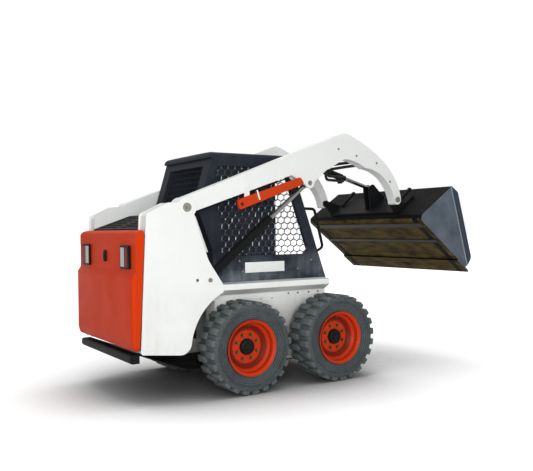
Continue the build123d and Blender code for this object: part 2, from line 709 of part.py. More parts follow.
# Lift arm: tapered beam, ear for the lift rod, and the leg that clears the lowered front tyre.
RELIEF_COS = cos(radians(ARM_DROP))
RELIEF_SIN = sin(radians(ARM_DROP))
AXLE_DX = FRONT_AXLE_X - PIVOT_X
AXLE_DZ = TYRE_RADIUS - PIVOT_Z
RELIEF_X = PIVOT_X + AXLE_DX * RELIEF_COS - AXLE_DZ * RELIEF_SIN
RELIEF_Z = PIVOT_Z + AXLE_DX * RELIEF_SIN + AXLE_DZ * RELIEF_COS
RELIEF_RADIUS = TYRE_RADIUS + 12
ELBOW = (MID_X + 635, PIVOT_Z + 681)
CROOK = (MID_X + 615, PIVOT_Z + 441)
PIVOT_END = 78
HINGE_END = 46
EAR_END = 46
with BuildPart() as lift_arm_left:
    with BuildSketch(across(ARM_OUTER)) as arm_face:
        with BuildLine():
            Polyline((PIVOT_X - 27, PIVOT_Z + 73), ELBOW)
            Spline(
                ELBOW,
                (MID_X + 826, PIVOT_Z + 597),
                (MID_X + 1008, PIVOT_Z + 493),
                (MID_X + 1165, HINGE_Z + 275),
                (HINGE_X + 22, HINGE_Z + 97),
                (HINGE_X + HINGE_END, HINGE_Z),
                tangents=((0.91, -0.41), (0.1, -1)),
            )
            Polyline((HINGE_X + HINGE_END, HINGE_Z), (HINGE_X - HINGE_END, HINGE_Z - 8))
            Spline(
                (HINGE_X - HINGE_END, HINGE_Z - 8),
                (MID_X + 1120, HINGE_Z + 107),
                (MID_X + 980, HINGE_Z + 207),
                (MID_X + 844, PIVOT_Z + 381),
                CROOK,
            )
            Polyline(
                CROOK,
                (LIFT_EYE_X + 177, LIFT_EYE_Z + 114),
                (LIFT_EYE_X + EAR_END, LIFT_EYE_Z + 6),
                (LIFT_EYE_X - EAR_END, LIFT_EYE_Z - 18),
                (LIFT_EYE_X - 192, LIFT_EYE_Z + 62),
                (PIVOT_X + 70, PIVOT_Z - 33),
                (PIVOT_X + 20, PIVOT_Z - 75),
                (PIVOT_X - 27, PIVOT_Z + 73),
            )
        make_face()
        fillet(corner(arm_face, *ELBOW), 120)
        fillet(corner(arm_face, *CROOK), 70)
        fillet(corner(arm_face, LIFT_EYE_X + 177, LIFT_EYE_Z + 114), 60)
        with Locations((PIVOT_X, PIVOT_Z)):
            Circle(PIVOT_END)
            Circle(PIVOT_PIN + RUN_GAP, mode=Mode.SUBTRACT)
        with Locations((HINGE_X, HINGE_Z)):
            Circle(HINGE_END)
            Circle(HINGE_PIN + RUN_GAP, mode=Mode.SUBTRACT)
        with Locations((LIFT_EYE_X, LIFT_EYE_Z)):
            Circle(EAR_END)
        with Locations((RELIEF_X, RELIEF_Z)):
            Circle(RELIEF_RADIUS, mode=Mode.SUBTRACT)
    extrude(amount=ARM_THICK)
    with BuildSketch(across(LIFT_Y + EYE_WIDTH / 2 + EYE_GAP)):
        with BuildLine():
            Polyline(
                (LIFT_EYE_X - 270, LIFT_EYE_Z - 86),
                (LIFT_EYE_X - 270, LIFT_EYE_Z + 46),
                (LIFT_EYE_X - 192, LIFT_EYE_Z + 74),
                (LIFT_EYE_X + 190, LIFT_EYE_Z + 204),
                (LIFT_EYE_X + 190, LIFT_EYE_Z - 86),
                close=True,
            )
        make_face()
    extrude(amount=EYE_WIDTH + 2 * EYE_GAP, mode=Mode.SUBTRACT)

# Arm tubes: steel line clipped along the lower outer edge of the arm.
TUBE = 6
TUBE_DROP = 12
TUBE_Y = ARM_OUTER - TUBE - 0.5
UNDER_FROM = (PIVOT_X + 70, PIVOT_Z - 33)
UNDER_TO = (LIFT_EYE_X - 192, LIFT_EYE_Z + 62)
UNDER_LENGTH = hypot(UNDER_TO[0] - UNDER_FROM[0], UNDER_TO[1] - UNDER_FROM[1])
UNDER_X = (UNDER_TO[0] - UNDER_FROM[0]) / UNDER_LENGTH
UNDER_Z = (UNDER_TO[1] - UNDER_FROM[1]) / UNDER_LENGTH
under_arm = Plane(
    origin=(UNDER_FROM[0], TUBE_Y, UNDER_FROM[1]),
    x_dir=(UNDER_X, 0, UNDER_Z),
    z_dir=(UNDER_Z, 0, -UNDER_X),
)
with BuildPart(under_arm) as arm_tube_left:
    with BuildSketch(Plane(origin=under_arm.origin, x_dir=(0, 1, 0), z_dir=under_arm.x_dir).offset(30)):
        with Locations((0, -TUBE_DROP)):
            RegularPolygon(TUBE, 8)
    extrude(amount=UNDER_LENGTH - 60)
    with Locations((UNDER_LENGTH / 2, 0, 0)):
        with GridLocations(UNDER_LENGTH / 3, 1, 3, 1):
            Box(26, 2 * TUBE, TUBE_DROP + TUBE, align=(Align.CENTER, Align.CENTER, Align.MIN))

# Crossmember joining the arms, with the tilt cylinder's base lugs.
CROSS_X = MID_X + 745
CROSS_Z = 2020
LUG = 14
with BuildPart() as arm_crossmember:
    with BuildSketch(across(ARM_INNER)):
        with Locations((CROSS_X, CROSS_Z)):
            Circle(54)
    extrude(amount=2 * ARM_INNER)
    for y in (TILT_Y + TILT_BASE_WIDTH / 2 + EYE_GAP + LUG, TILT_Y - TILT_BASE_WIDTH / 2 - EYE_GAP):
        with BuildSketch(across(y)):
            with BuildLine():
                Polyline(
                    (TILT_BASE_X - 36, TILT_BASE_Z - 20),
                    (TILT_BASE_X - 36, TILT_BASE_Z + 20),
                    (CROSS_X - 20, CROSS_Z + 50),
                    (CROSS_X + 40, CROSS_Z),
                    (CROSS_X + 20, CROSS_Z - 50),
                    (TILT_BASE_X + 30, TILT_BASE_Z - 30),
                    (TILT_BASE_X, TILT_BASE_Z - 38),
                    close=True,
                )
            make_face()
        extrude(amount=LUG)
    with BuildSketch(across(TILT_Y + TILT_BASE_WIDTH / 2 + EYE_GAP + LUG)):
        with Locations((TILT_BASE_X, TILT_BASE_Z)):
            Circle(20)
    extrude(amount=TILT_BASE_WIDTH + 2 * EYE_GAP + 2 * LUG)

# Lift arm support bar stowed under the right arm, on its bracket.
with BuildPart() as lift_arm_support:
    with BuildSketch(across(-ARM_OUTER)) as support_face:
        with BuildLine():
            Polyline(
                (MID_X - 512, PIVOT_Z + 63),
                (LIFT_EYE_X - 117, LIFT_EYE_Z + 44),
                (LIFT_EYE_X - 75, LIFT_EYE_Z - 11),
                (MID_X - 498, PIVOT_Z - 19),
                close=True,
            )
        make_face()
        fillet(support_face.vertices(), 18)
        with Locations((MID_X - 470, PIVOT_Z + 28)):
            Circle(16, mode=Mode.SUBTRACT)
    extrude(amount=24)
    with BuildSketch(across(-ARM_OUTER)):
        with BuildLine():
            Polyline(
                (MID_X - 440, PIVOT_Z + 23),
                (MID_X - 440, PIVOT_Z + 163),
                (MID_X - 390, PIVOT_Z + 180),
                (MID_X - 390, PIVOT_Z + 40),
                close=True,
            )
        make_face()
    extrude(amount=8)


def cylinder_axis(base_x, base_z, eye_x, eye_z, y):
    """Plane at a cylinder's base pin, with its normal along the rod."""
    return Plane(origin=(base_x, y, base_z), x_dir=(0, 1, 0), z_dir=(eye_x - base_x, 0, eye_z - base_z))


lift_axis = cylinder_axis(LIFT_BASE_X, LIFT_BASE_Z, LIFT_EYE_X, LIFT_EYE_Z, LIFT_Y)
tilt_axis = cylinder_axis(TILT_BASE_X, TILT_BASE_Z, TILT_EYE_X, TILT_EYE_Z, TILT_Y)
GLAND_NOSE = 40

# Lift cylinder barrel, open at the gland.
LIFT_LENGTH = hypot(LIFT_EYE_X - LIFT_BASE_X, LIFT_EYE_Z - LIFT_BASE_Z)
LIFT_GLAND = 788
LIFT_FLOOR = 54
with BuildPart() as lift_barrel_left:
    with BuildSketch(across(LIFT_Y + EYE_WIDTH / 2)):
        with Locations((LIFT_BASE_X, LIFT_BASE_Z)):
            Circle(42)
    extrude(amount=EYE_WIDTH)
    with BuildSketch(lift_axis.offset(24)):
        Circle(LIFT_BARREL)
    extrude(amount=LIFT_GLAND - GLAND_NOSE - 24)
    with BuildSketch(lift_axis.offset(LIFT_GLAND - GLAND_NOSE)):
        Circle(LIFT_BARREL - 5)
    extrude(amount=GLAND_NOSE)
    with BuildSketch(lift_axis.offset(LIFT_FLOOR)):
        Circle(LIFT_ROD + RUN_GAP)
    extrude(amount=LIFT_GLAND, mode=Mode.SUBTRACT)
    with BuildSketch(across(LIFT_Y + EYE_WIDTH / 2)):
        with Locations((LIFT_BASE_X, LIFT_BASE_Z)):
            Circle(LIFT_PIN + RUN_GAP)
    extrude(amount=EYE_WIDTH, mode=Mode.SUBTRACT)

# Lift cylinder rod with its eye between the ear plates.
LIFT_ROD_TAIL = 440
with BuildPart() as lift_rod_left:
    with BuildSketch(lift_axis.offset(LIFT_ROD_TAIL)):
        Circle(LIFT_ROD)
    extrude(amount=LIFT_LENGTH - LIFT_ROD_TAIL)
    with BuildSketch(across(LIFT_Y + EYE_WIDTH / 2)):
        with Locations((LIFT_EYE_X, LIFT_EYE_Z)):
            Circle(40)
    extrude(amount=EYE_WIDTH)

# Tilt cylinder barrel on the crossmember, with the port block for its hoses.
TILT_LENGTH = hypot(TILT_EYE_X - TILT_BASE_X, TILT_EYE_Z - TILT_BASE_Z)
TILT_GLAND = 490
TILT_FLOOR = 50
PORT_AT = 400
PORT_X = TILT_BASE_X + PORT_AT * (TILT_EYE_X - TILT_BASE_X) / TILT_LENGTH
PORT_Z = TILT_BASE_Z + PORT_AT * (TILT_EYE_Z - TILT_BASE_Z) / TILT_LENGTH - 40
PORT_FACE = TILT_Y - TILT_BARREL - 14
PORT_FACE_IN = 24
with BuildPart() as tilt_barrel:
    with BuildSketch(across(TILT_Y + TILT_BASE_WIDTH / 2)):
        with Locations((TILT_BASE_X, TILT_BASE_Z)):
            Circle(36)
    extrude(amount=TILT_BASE_WIDTH)
    with BuildSketch(tilt_axis.offset(24)):
        Circle(TILT_BARREL)
    extrude(amount=TILT_GLAND - GLAND_NOSE - 24)
    with BuildSketch(tilt_axis.offset(TILT_GLAND - GLAND_NOSE)):
        Circle(TILT_BARREL - 5)
    extrude(amount=GLAND_NOSE)
    with Locations((PORT_X, PORT_FACE, PORT_Z)):
        Box(40, PORT_FACE_IN, 76, align=(Align.CENTER, Align.MIN, Align.CENTER))
    with BuildSketch(tilt_axis.offset(TILT_FLOOR)):
        Circle(TILT_ROD + RUN_GAP)
    extrude(amount=TILT_GLAND, mode=Mode.SUBTRACT)
    with BuildSketch(across(TILT_Y + TILT_BASE_WIDTH / 2)):
        with Locations((TILT_BASE_X, TILT_BASE_Z)):
            Circle(20 + RUN_GAP)
    extrude(amount=TILT_BASE_WIDTH, mode=Mode.SUBTRACT)

# Tilt cylinder rod with its eye between the coupler lugs.
TILT_ROD_TAIL = 362
with BuildPart() as tilt_rod:
    with BuildSketch(tilt_axis.offset(TILT_ROD_TAIL)):
        Circle(TILT_ROD)
    extrude(amount=TILT_LENGTH - TILT_ROD_TAIL)
    with BuildSketch(across(TILT_Y + EYE_WIDTH / 2)):
        with Locations((TILT_EYE_X, TILT_EYE_Z)):
            Circle(34)
    extrude(amount=EYE_WIDTH)

# Bucket frame: side-view plane on the hinge pin, turned with the bucket's floor.
FLOOR_DIR = (cos(radians(BUCKET_TIP)), 0, -sin(radians(BUCKET_TIP)))


def bucket_plane(y):
    """Side view of the bucket at the given distance left of the middle."""
    return Plane(origin=(HINGE_X, y, HINGE_Z), x_dir=FLOOR_DIR, z_dir=(0, -1, 0))


# The back wall leans forward: its direction and its outward normal in the bucket's frame.
BACK_LENGTH = hypot(TOP_U - HEEL_U, TOP_W - HEEL_W)
BACK_U = (TOP_U - HEEL_U) / BACK_LENGTH
BACK_W = (TOP_W - HEEL_W) / BACK_LENGTH


def on_back(up, out):
    """Point the given way up the back wall from the heel and out behind it."""
    return (HEEL_U + up * BACK_U - out * BACK_W, HEEL_W + up * BACK_W + out * BACK_U)


SHELL = 10
SIDE = 12
HEEL_ROUND = 48
with BuildPart() as bucket_shell:
    with BuildSketch(bucket_plane(0)) as shell_profile:
        with BuildLine():
            Polyline(
                (LIP_U - 150, HEEL_W),
                (HEEL_U, HEEL_W),
                (TOP_U, TOP_W),
                (TOP_U + 70, TOP_W + 5),
                (TOP_U + 70, TOP_W + 5 - SHELL),
                (TOP_U + 8, TOP_W - SHELL),
                (HEEL_U + 14, HEEL_W + SHELL),
                (LIP_U - 150, HEEL_W + SHELL),
                close=True,
            )
        make_face()
        fillet(corner(shell_profile, HEEL_U, HEEL_W), HEEL_ROUND)
        fillet(corner(shell_profile, HEEL_U + 14, HEEL_W + SHELL), HEEL_ROUND - SHELL)
    extrude(amount=BUCKET_HALF, both=True)
    for y in (BUCKET_HALF, -BUCKET_HALF + SIDE):
        with BuildSketch(bucket_plane(y)) as side_face:
            with BuildLine():
                Polyline(
                    (LIP_U - 60, HEEL_W),
                    (HEEL_U, HEEL_W),
                    (TOP_U, TOP_W),
                    (TOP_U + 100, TOP_W + 7),
                    (LIP_U - 47, HEEL_W + 120),
                    (LIP_U - 47, HEEL_W + 22),
                    (LIP_U - 60, HEEL_W + 22),
                    close=True,
                )
            make_face()
            fillet(corner(side_face, HEEL_U, HEEL_W), HEEL_ROUND)
            fillet(corner(side_face, LIP_U - 47, HEEL_W + 120), 60)
            fillet(corner(side_face, TOP_U + 100, TOP_W + 7), 40)
        extrude(amount=SIDE)

# Wear strips across the underside of the bucket.
WEAR = 8
with BuildPart() as wear_strips:
    with BuildSketch(bucket_plane(0)):
        with Locations((HEEL_U + 110, HEEL_W - WEAR / 2)):
            Rectangle(60, WEAR)
        with Locations((HEEL_U + 355, HEEL_W - WEAR / 2)):
            Rectangle(34, WEAR)
    extrude(amount=BUCKET_HALF - 40, both=True)

# Cutting edge under the lip.
with BuildPart() as cutting_edge:
    with BuildSketch(bucket_plane(0)):
        with BuildLine():
            Polyline(
                (LIP_U - 190, HEEL_W - 16),
                (LIP_U - 190, HEEL_W),
                (LIP_U - 20, HEEL_W),
                (LIP_U, HEEL_W - 12),
                (LIP_U, HEEL_W - 16),
                close=True,
            )
        make_face()
    extrude(amount=BUCKET_HALF, both=True)

# Coupler: plate on the bucket's back, outer lugs with the hinge pins and centre lugs for the tilt rod.
COUPLER_HALF = ARM_INNER - 6
PLATE_OUT = 26
HINGE_UP = 46
with BuildPart() as coupler:
    with BuildSketch(bucket_plane(0)):
        with BuildLine():
            Polyline(on_back(72, 0), on_back(360, 0), on_back(360, PLATE_OUT), on_back(72, PLATE_OUT), close=True)
        make_face()
    extrude(amount=COUPLER_HALF, both=True)
    for y in (ARM_INNER - 8, -ARM_INNER + 8 + 24):
        with BuildSketch(bucket_plane(y)):
            with BuildLine():
                Polyline(on_back(72, 20), on_back(230, 20), (0, HINGE_PIN + 14), (0, -HINGE_PIN - 14), close=True)
            make_face()
            Circle(HINGE_PIN + 14)
        extrude(amount=24)
    for y in (ARM_OUTER + 6, -ARM_INNER + 8):
        with BuildSketch(bucket_plane(y)):
            Circle(HINGE_PIN)
        extrude(amount=ARM_THICK + 14)
    for y in (TILT_Y + EYE_WIDTH / 2 + EYE_GAP + LUG, TILT_Y - EYE_WIDTH / 2 - EYE_GAP):
        with BuildSketch(bucket_plane(y)) as lug_face:
            with BuildLine():
                Polyline(
                    on_back(120, 20),
                    on_back(350, 20),
                    on_back(300, 230),
                    on_back(225, 230),
                    close=True,
                )
            make_face()
            fillet(corner(lug_face, *on_back(300, 230)), 30)
            fillet(corner(lug_face, *on_back(225, 230)), 30)
        extrude(amount=LUG)

# Coupler lever handles.
with BuildPart() as coupler_levers:
    for y in (445, -415):
        with BuildSketch(bucket_plane(y)) as lever_face:
            with BuildLine():
                Polyline(
                    on_back(200, PLATE_OUT),
                    on_back(430, PLATE_OUT + 30),
                    on_back(430, PLATE_OUT + 56),
                    on_back(200, PLATE_OUT + 30),
                    close=True,
                )
            make_face()
            fillet(corner(lever_face, *on_back(430, PLATE_OUT + 30)), 10)
            fillet(corner(lever_face, *on_back(430, PLATE_OUT + 56)), 10)
        extrude(amount=30)

# Tilt hoses: from beside the right arm's inner face, inwards under the crossmember, and round to the ports.
HOSE = 14
HOSE_APART = 36
HOSE_BACK = MID_X + 690
HOSE_RISE = 96
with BuildPart() as tilt_hoses:
    for out in (-HOSE_APART / 2, HOSE_APART / 2):
        with BuildLine() as hose_line:
            FilletPolyline(
                (CROSS_X + 93, -ARM_INNER + 12, PORT_Z + HOSE_RISE + 24 + out),
                (CROSS_X + 55, -ARM_INNER + 112, PORT_Z + HOSE_RISE + 18 + out),
                (HOSE_BACK - out, -290, PORT_Z + HOSE_RISE + out),
                (HOSE_BACK - out, -250, PORT_Z - out),
                (PORT_X, PORT_FACE - 62, PORT_Z - out),
                (PORT_X, PORT_FACE, PORT_Z - out),
                radius=45 + out,
            )
        with BuildSketch(Plane(origin=hose_line.line @ 0, z_dir=hose_line.line % 0)):
            RegularPolygon(HOSE, 8)
        sweep(path=hose_line.line)

# Uprights: the left one also carries the tailgate's lift-off hinges, each a lug with a standing pin.
with BuildPart() as upright_left:
    add(upright.part)
    for z in HINGE_HEIGHTS:
        with BuildSketch(Plane.XY.offset(z - 41)):
            with BuildLine():
                Polyline(
                    (GATE_HINGE_X, GATE_HINGE_Y + 8),
                    (GATE_HINGE_X, GATE_HINGE_Y - 8),
                    (GATE_HINGE_X + 40, BODY_HALF),
                    (GATE_HINGE_X + 90, BODY_HALF),
                    (GATE_HINGE_X + 90, BODY_HALF + 6),
                    (GATE_HINGE_X + 30, GATE_HINGE_Y + 8),
                    close=True,
                )
            make_face()
            with Locations((GATE_HINGE_X, GATE_HINGE_Y)):
                Circle(KNUCKLE)
        extrude(amount=40)
        with BuildSketch(Plane.XY.offset(z - 41)):
            with Locations((GATE_HINGE_X, GATE_HINGE_Y)):
                Circle(KNUCKLE_PIN)
        extrude(amount=HINGE_TALL + 36)
with BuildPart() as upright_right:
    mirror(upright.part, about=Plane.XZ)

left_hand = {
    "tyre_front": tyre_front_left,
    "rim_front": rim_front_left,
    "axle_front": axle_front_left,
    "chaincase": chaincase_left,
    "fender": fender_left,
    "cab_side": cab_side_left,
    "side_screen": side_screen_left,
    "lift_arm": lift_arm_left,
    "lift_barrel": lift_barrel_left,
    "lift_rod": lift_rod_left,
    "arm_tube": arm_tube_left,
}
single = {
    "upright_left": upright_left,
    "upright_right": upright_right,
    "belly_pan": belly_pan,
    "floor_pan": floor_pan,
    "engine": engine,
    "rear_bumper": rear_bumper,
    "rear_grille": rear_grille,
    "tailgate": tailgate,
    "tail_lamps": tail_lamps,
    "clear_lenses": clear_lenses,
    "red_lenses": red_lenses,
    "tailgate_latch": tailgate_latch,
    "cab_roof": cab_roof,
    "cab_rear": cab_rear,
    "rear_screen": rear_screen,
    "seat": seat,
    "control_levers": control_levers,
    "grab_handles": grab_handles,
    "arm_crossmember": arm_crossmember,
    "lift_arm_support": lift_arm_support,
    "tilt_barrel": tilt_barrel,
    "tilt_rod": tilt_rod,
    "bucket_shell": bucket_shell,
    "cutting_edge": cutting_edge,
    "coupler": coupler,
    "coupler_levers": coupler_levers,
    "wear_strips": wear_strips,
    "tilt_hoses": tilt_hoses,
}

pieces = {name: piece.part for name, piece in single.items()}
for name, piece in left_hand.items():
    with BuildPart() as right_hand:
        mirror(piece.part, about=Plane.XZ)
    pieces[name + "_left"] = piece.part
    pieces[name + "_right"] = right_hand.part
for kind in ("tyre", "rim", "axle"):
    for side in ("left", "right"):
        with BuildPart() as rear_wheel:
            with Locations((-WHEELBASE, 0, 0)):
                add(pieces[f"{kind}_front_{side}"])
        pieces[f"{kind}_rear_{side}"] = rear_wheel.part
for name, solid in pieces.items():
    solid.label = name
    export_step(solid, f"parts/{name}.step")
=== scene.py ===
# %% [markdown]
# # Dressing a skid steer loader
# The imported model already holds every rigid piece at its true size. This lesson gives each piece
# its finish, adds the small things that the eye expects, such as tread, bolts and mesh, and sets up
# the camera and the light. Lengths are metres in the frame's own axes: X forward, Y left and Z up.

# %% Load the frame
import json
from math import asin, ceil, cos, exp, pi, radians, sin

import bmesh
import bpy
from mathutils import Matrix, Vector


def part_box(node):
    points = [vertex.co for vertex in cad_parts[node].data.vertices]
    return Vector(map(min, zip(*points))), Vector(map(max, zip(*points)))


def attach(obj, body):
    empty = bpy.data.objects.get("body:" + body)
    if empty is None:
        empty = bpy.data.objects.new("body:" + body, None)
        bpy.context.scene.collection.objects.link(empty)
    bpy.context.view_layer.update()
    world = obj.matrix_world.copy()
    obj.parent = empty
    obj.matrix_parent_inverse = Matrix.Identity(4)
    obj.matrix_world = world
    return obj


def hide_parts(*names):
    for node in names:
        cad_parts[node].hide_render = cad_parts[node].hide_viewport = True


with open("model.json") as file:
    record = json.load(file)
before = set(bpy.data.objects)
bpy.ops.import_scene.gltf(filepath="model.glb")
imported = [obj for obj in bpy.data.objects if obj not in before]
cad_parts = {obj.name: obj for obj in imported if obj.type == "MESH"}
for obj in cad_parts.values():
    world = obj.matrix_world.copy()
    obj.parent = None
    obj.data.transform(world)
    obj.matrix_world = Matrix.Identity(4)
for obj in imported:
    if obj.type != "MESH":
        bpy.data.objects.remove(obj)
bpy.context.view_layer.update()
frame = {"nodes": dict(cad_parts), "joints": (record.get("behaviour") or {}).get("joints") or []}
nodes = frame["nodes"]
joints = {joint["name"]: joint for joint in frame["joints"]}
scene = bpy.context.scene
scene.view_settings.view_transform = "Standard"
MM = 0.001
SIDES = {"left": 1, "right": -1}
ENDS = ("front", "rear")
print("pieces in the frame:", len(nodes), "and joints:", len(joints))

# %% [markdown]
# ## Places from the frame
# The pieces that we add sit on faces and pins that the frame already has, so we ask the frame where
# they are. The linkage and the wheels are alike on both sides, which lets us measure the right side
# and mirror the result.

# %% Places from the frame
def outer_face(name):
    """How far a piece reaches out from the middle of the machine on the right."""
    return -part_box(name)[0][1]


def side_view(joint_name):
    """A joint's place as seen from the side: forward, then up."""
    x, _, z = joints[joint_name]["pos_m"]
    return x, z


UPRIGHT_FACE = outer_face("upright_right")
ARM_FACE = outer_face("lift_arm_right")
HINGE_END = outer_face("coupler")
CAB_FACE = outer_face("cab_side_right")
BAR_FACE = outer_face("lift_arm_support")
RIM_FACE = outer_face("rim_rear_right")
HUB_FACE = outer_face("axle_rear_right")
ARM_PIVOT = side_view("lift")
LIFT_BASE = side_view("lift_barrel_right_swing")
BUCKET_HINGE = side_view("bucket_tilt")
AXLES = [side_view(f"wheel_{end}_right_roll") for end in ENDS]
print("arm pivot at", ARM_PIVOT, "and axles at", AXLES)

# %% [markdown]
# ## Camera
# The photograph was taken from behind on the right, at about chest height, with a lens a little longer
# than normal. The camera's place was solved from both near wheels and the body's upright lines, so we
# only write it down here. A roll of under a degree levels the horizon as the photograph has it.

# %% Camera
YAW, PITCH, ROLL = 57.165, -0.606, -0.698
EYE = (-3.6762, -5.5274, 1.3388)
SENSOR_MM, LENS_MM = 36.0, 47.41
FAR_CLIP = 200.0
camera_data = bpy.data.cameras.new("photo_camera")
camera_data.sensor_width = SENSOR_MM
camera_data.lens = LENS_MM
camera_data.clip_end = FAR_CLIP
camera = bpy.data.objects.new("photo_camera", camera_data)
scene.collection.objects.link(camera)
turn = Matrix.Rotation(radians(YAW - 90), 4, "Z") @ Matrix.Rotation(radians(90 + PITCH), 4, "X")
camera.matrix_world = Matrix.Translation(EYE) @ turn @ Matrix.Rotation(radians(ROLL), 4, "Z")
scene.camera = camera
print("camera at", EYE)

# %% [markdown]
# ## One helper for shader nodes
# Every finish below is a small tree of shader nodes. One function adds a node, sets its options, fills
# its sockets and hands back one output. A socket takes a plain value or a link from another node. The
# Mix node has many sockets, of which we only need those for two colours, so these get names.

# %% Node helper
SHARE, UNDER, OVER = 0, 6, 7
COLOUR_MIX = {"data_type": "RGBA", "out": 2}


def fill(tree, target, sockets):
    for key, value in sockets.items():
        if isinstance(value, bpy.types.NodeSocket):
            tree.links.new(value, target.inputs[key])
        else:
            target.inputs[key].default_value = value


def node(tree, kind, sockets=None, out=0, **settings):
    made = tree.nodes.new("ShaderNode" + kind)
    for key, value in settings.items():
        setattr(made, key, value)
    fill(tree, made, sockets or {})
    return made.outputs[out]


print("colour mix by sockets", SHARE, UNDER, OVER)

# %% [markdown]
# ## Starting a finish
# Colours are written as the hex values that a paint shop would use, and one function turns them into
# the linear numbers that the renderer works with. A finish starts with the values that are the same
# all over. Its patterns read Object coordinates, which are real metres on the machine, so a 6 mm
# ripple is 6 mm on every piece. A second colour can be laid over a finish where a pattern asks for it,
# and a stripe is a band between two limits.

# %% Starting a finish
FINE_SHARE = 0.6  # how much each finer layer of a noise counts against the one before
EDGE = 2.5 * MM  # the rounding that sheet edges get in the shading


def colour(hex_value):
    parts = [int(hex_value[i : i + 2], 16) / 255 for i in (1, 3, 5)]
    linear = [p / 12.92 if p <= 0.04045 else ((p + 0.055) / 1.055) ** 2.4 for p in parts]
    return (*linear, 1.0)


def new_finish(name, **values):
    finish = bpy.data.materials.new(name)
    finish.use_nodes = True
    tree = finish.node_tree
    shader = tree.nodes["Principled BSDF"]
    fill(tree, shader, {key.replace("_", " "): value for key, value in values.items()})
    return finish, tree, shader, node(tree, "TexCoord", out="Object")


def lay_over(finish, share, tint):
    """Cover a finish with a second colour, by the share that a pattern gives at each point."""
    tree = finish.node_tree
    base = tree.nodes["Principled BSDF"].inputs["Base Color"]
    sockets = {SHARE: share, UNDER: base.links[0].from_socket, OVER: colour(tint)}
    tree.links.new(node(tree, "Mix", sockets, **COLOUR_MIX), base)


def band(tree, value, rise, fall, peak=1.0):
    """A peak where a value lies between two limits, with a soft step at each, and nought elsewhere."""
    starts = {"From Min": rise[0], "From Max": rise[1], "To Max": peak}
    stops = {"From Min": fall[0], "From Max": fall[1], "To Min": 1.0, "To Max": 0.0}
    up, down = (node(tree, "MapRange", {"Value": value, **limits}) for limits in (starts, stops))
    return node(tree, "Math", {0: up, 1: down}, operation="MULTIPLY")


print("middle grey in linear light:", round(colour("#808080")[0], 3))

# %% [markdown]
# ## Enamel paint
# The body panels are steel sheet with sprayed enamel. Sprayed enamel has a fine ripple, about 6 mm from
# crest to crest, and a working machine carries a veil of dust that thickens towards the ground. Rain
# draws the dust down the panels in streaks. A blotchy noise times a stretched one gives both, so that
# no panel is one flat colour, and a small bevel in the shading takes the knife edge off every sheet.

# %% Enamel
PATCH, STREAK = 350 * MM, 45 * MM
STREAK_DRAW = (1.0, 1.0, 0.08)  # a small scale upright draws the streaks long
RIPPLE, RIPPLE_DEEP = 6 * MM, 0.4 * MM


def enamel(name, paint, dust_and_sheen_tint, roughness=0.36, gloss=0.1, dust_and_sheen=0.35, low=0.15, high=1.0, top=0.2):
    """Paint with a share of dust, and on the cab painted sheen, at the low height, and only a part of that,
    top, at the high one.
    """
    finish, tree, shader, place = new_finish(name, Specular_IOR_Level=gloss)
    height = node(tree, "SeparateXYZ", {"Vector": place}, out="Z")
    veil = {"From Min": low, "From Max": high, "To Min": dust_and_sheen, "To Max": dust_and_sheen * top}
    share = node(tree, "MapRange", {"Value": height, **veil})
    cloudy = {"Scale": 1 / PATCH, "Detail": 6.0, "Roughness": FINE_SHARE}
    patches = node(tree, "TexNoise", {"Vector": place, **cloudy})
    drawn = node(tree, "Mapping", {"Vector": place, "Scale": STREAK_DRAW})
    thin = {"Scale": 1 / STREAK, "Detail": 3.0, "Roughness": FINE_SHARE}
    streaks = node(tree, "TexNoise", {"Vector": drawn, **thin})
    for pattern, limits in (
        (patches, {"From Min": 0.35, "From Max": 0.75}),
        (streaks, {"From Min": 0.3, "From Max": 0.7, "To Min": 0.45}),
    ):
        marks = node(tree, "MapRange", {"Value": pattern, **limits})
        share = node(tree, "Math", {0: share, 1: marks}, operation="MULTIPLY")
    tone = {SHARE: share, UNDER: colour(paint), OVER: colour(dust_and_sheen_tint)}
    dulled = {"From Min": 0.3, "From Max": 0.8, "To Min": roughness, "To Max": roughness + 0.2}
    fine = {"Scale": 1 / RIPPLE, "Detail": 2.0, "Roughness": FINE_SHARE}
    ripple = node(tree, "TexNoise", {"Vector": place, **fine})
    eased = node(tree, "Bevel", {"Radius": EDGE}, samples=4)
    bumps = {"Height": ripple, "Strength": 0.04, "Distance": RIPPLE_DEEP, "Normal": eased}
    fill(tree, shader, {
        "Base Color": node(tree, "Mix", tone, **COLOUR_MIX),
        "Roughness": node(tree, "MapRange", {"Value": patches, **dulled}),
        "Normal": node(tree, "Bump", bumps),
    })
    return finish


print("ripple", RIPPLE, "m and streaks", STREAK, "m wide")

# %% [markdown]
# ## The machine's colours
# White covers the frame and the arms, red-orange the tailgate and the wheels, and near-black the cab and
# whatever hides under it. A pale blue-grey band lies along the cab's lower panels, partly dust and partly a
# painted reflection of the sky, and it fades within some 200 mm. Old paint shines little, which is why
# the gloss values are low.

# %% The machine's colours
# Chalky white that greys towards the ground.
white_enamel = enamel("white_enamel_on_steel", "#EBEDEB", "#A39C8C", dust_and_sheen=0.5)
# A warm red that hardly mirrors anything, so that it stays deep.
red_enamel = enamel("red_orange_enamel_on_steel", "#CE380C", "#7E3016", gloss=0.04, dust_and_sheen=0.3)
# The same red, with brown dust over the whole wheel.
wheel_enamel = enamel(
    "red_wheel_enamel", "#C6340E", "#7A3018", gloss=0.12, dust_and_sheen=0.4, low=0.0, high=0.8,
)
# Blue-black above, and below a pale grey band of dust and painted sky reflection.
cab_enamel = enamel(
    "dark_cab_powder_coat", "#22262D", "#8A939B", roughness=0.4, gloss=0.05, dust_and_sheen=0.95, low=0.95, high=1.16,
    top=0.08,
)
# Soft blacks that show form by their dust more than by highlights.
black_enamel = enamel("black_chassis_enamel", "#131416", "#4A4740", roughness=0.45, gloss=0.06)
bezel_plastic = enamel("black_moulded_bezel", "#101113", "#4A4640", roughness=0.4, gloss=0.06, dust_and_sheen=0.2)
print("enamels ready:", white_enamel.name, red_enamel.name, wheel_enamel.name, cab_enamel.name)
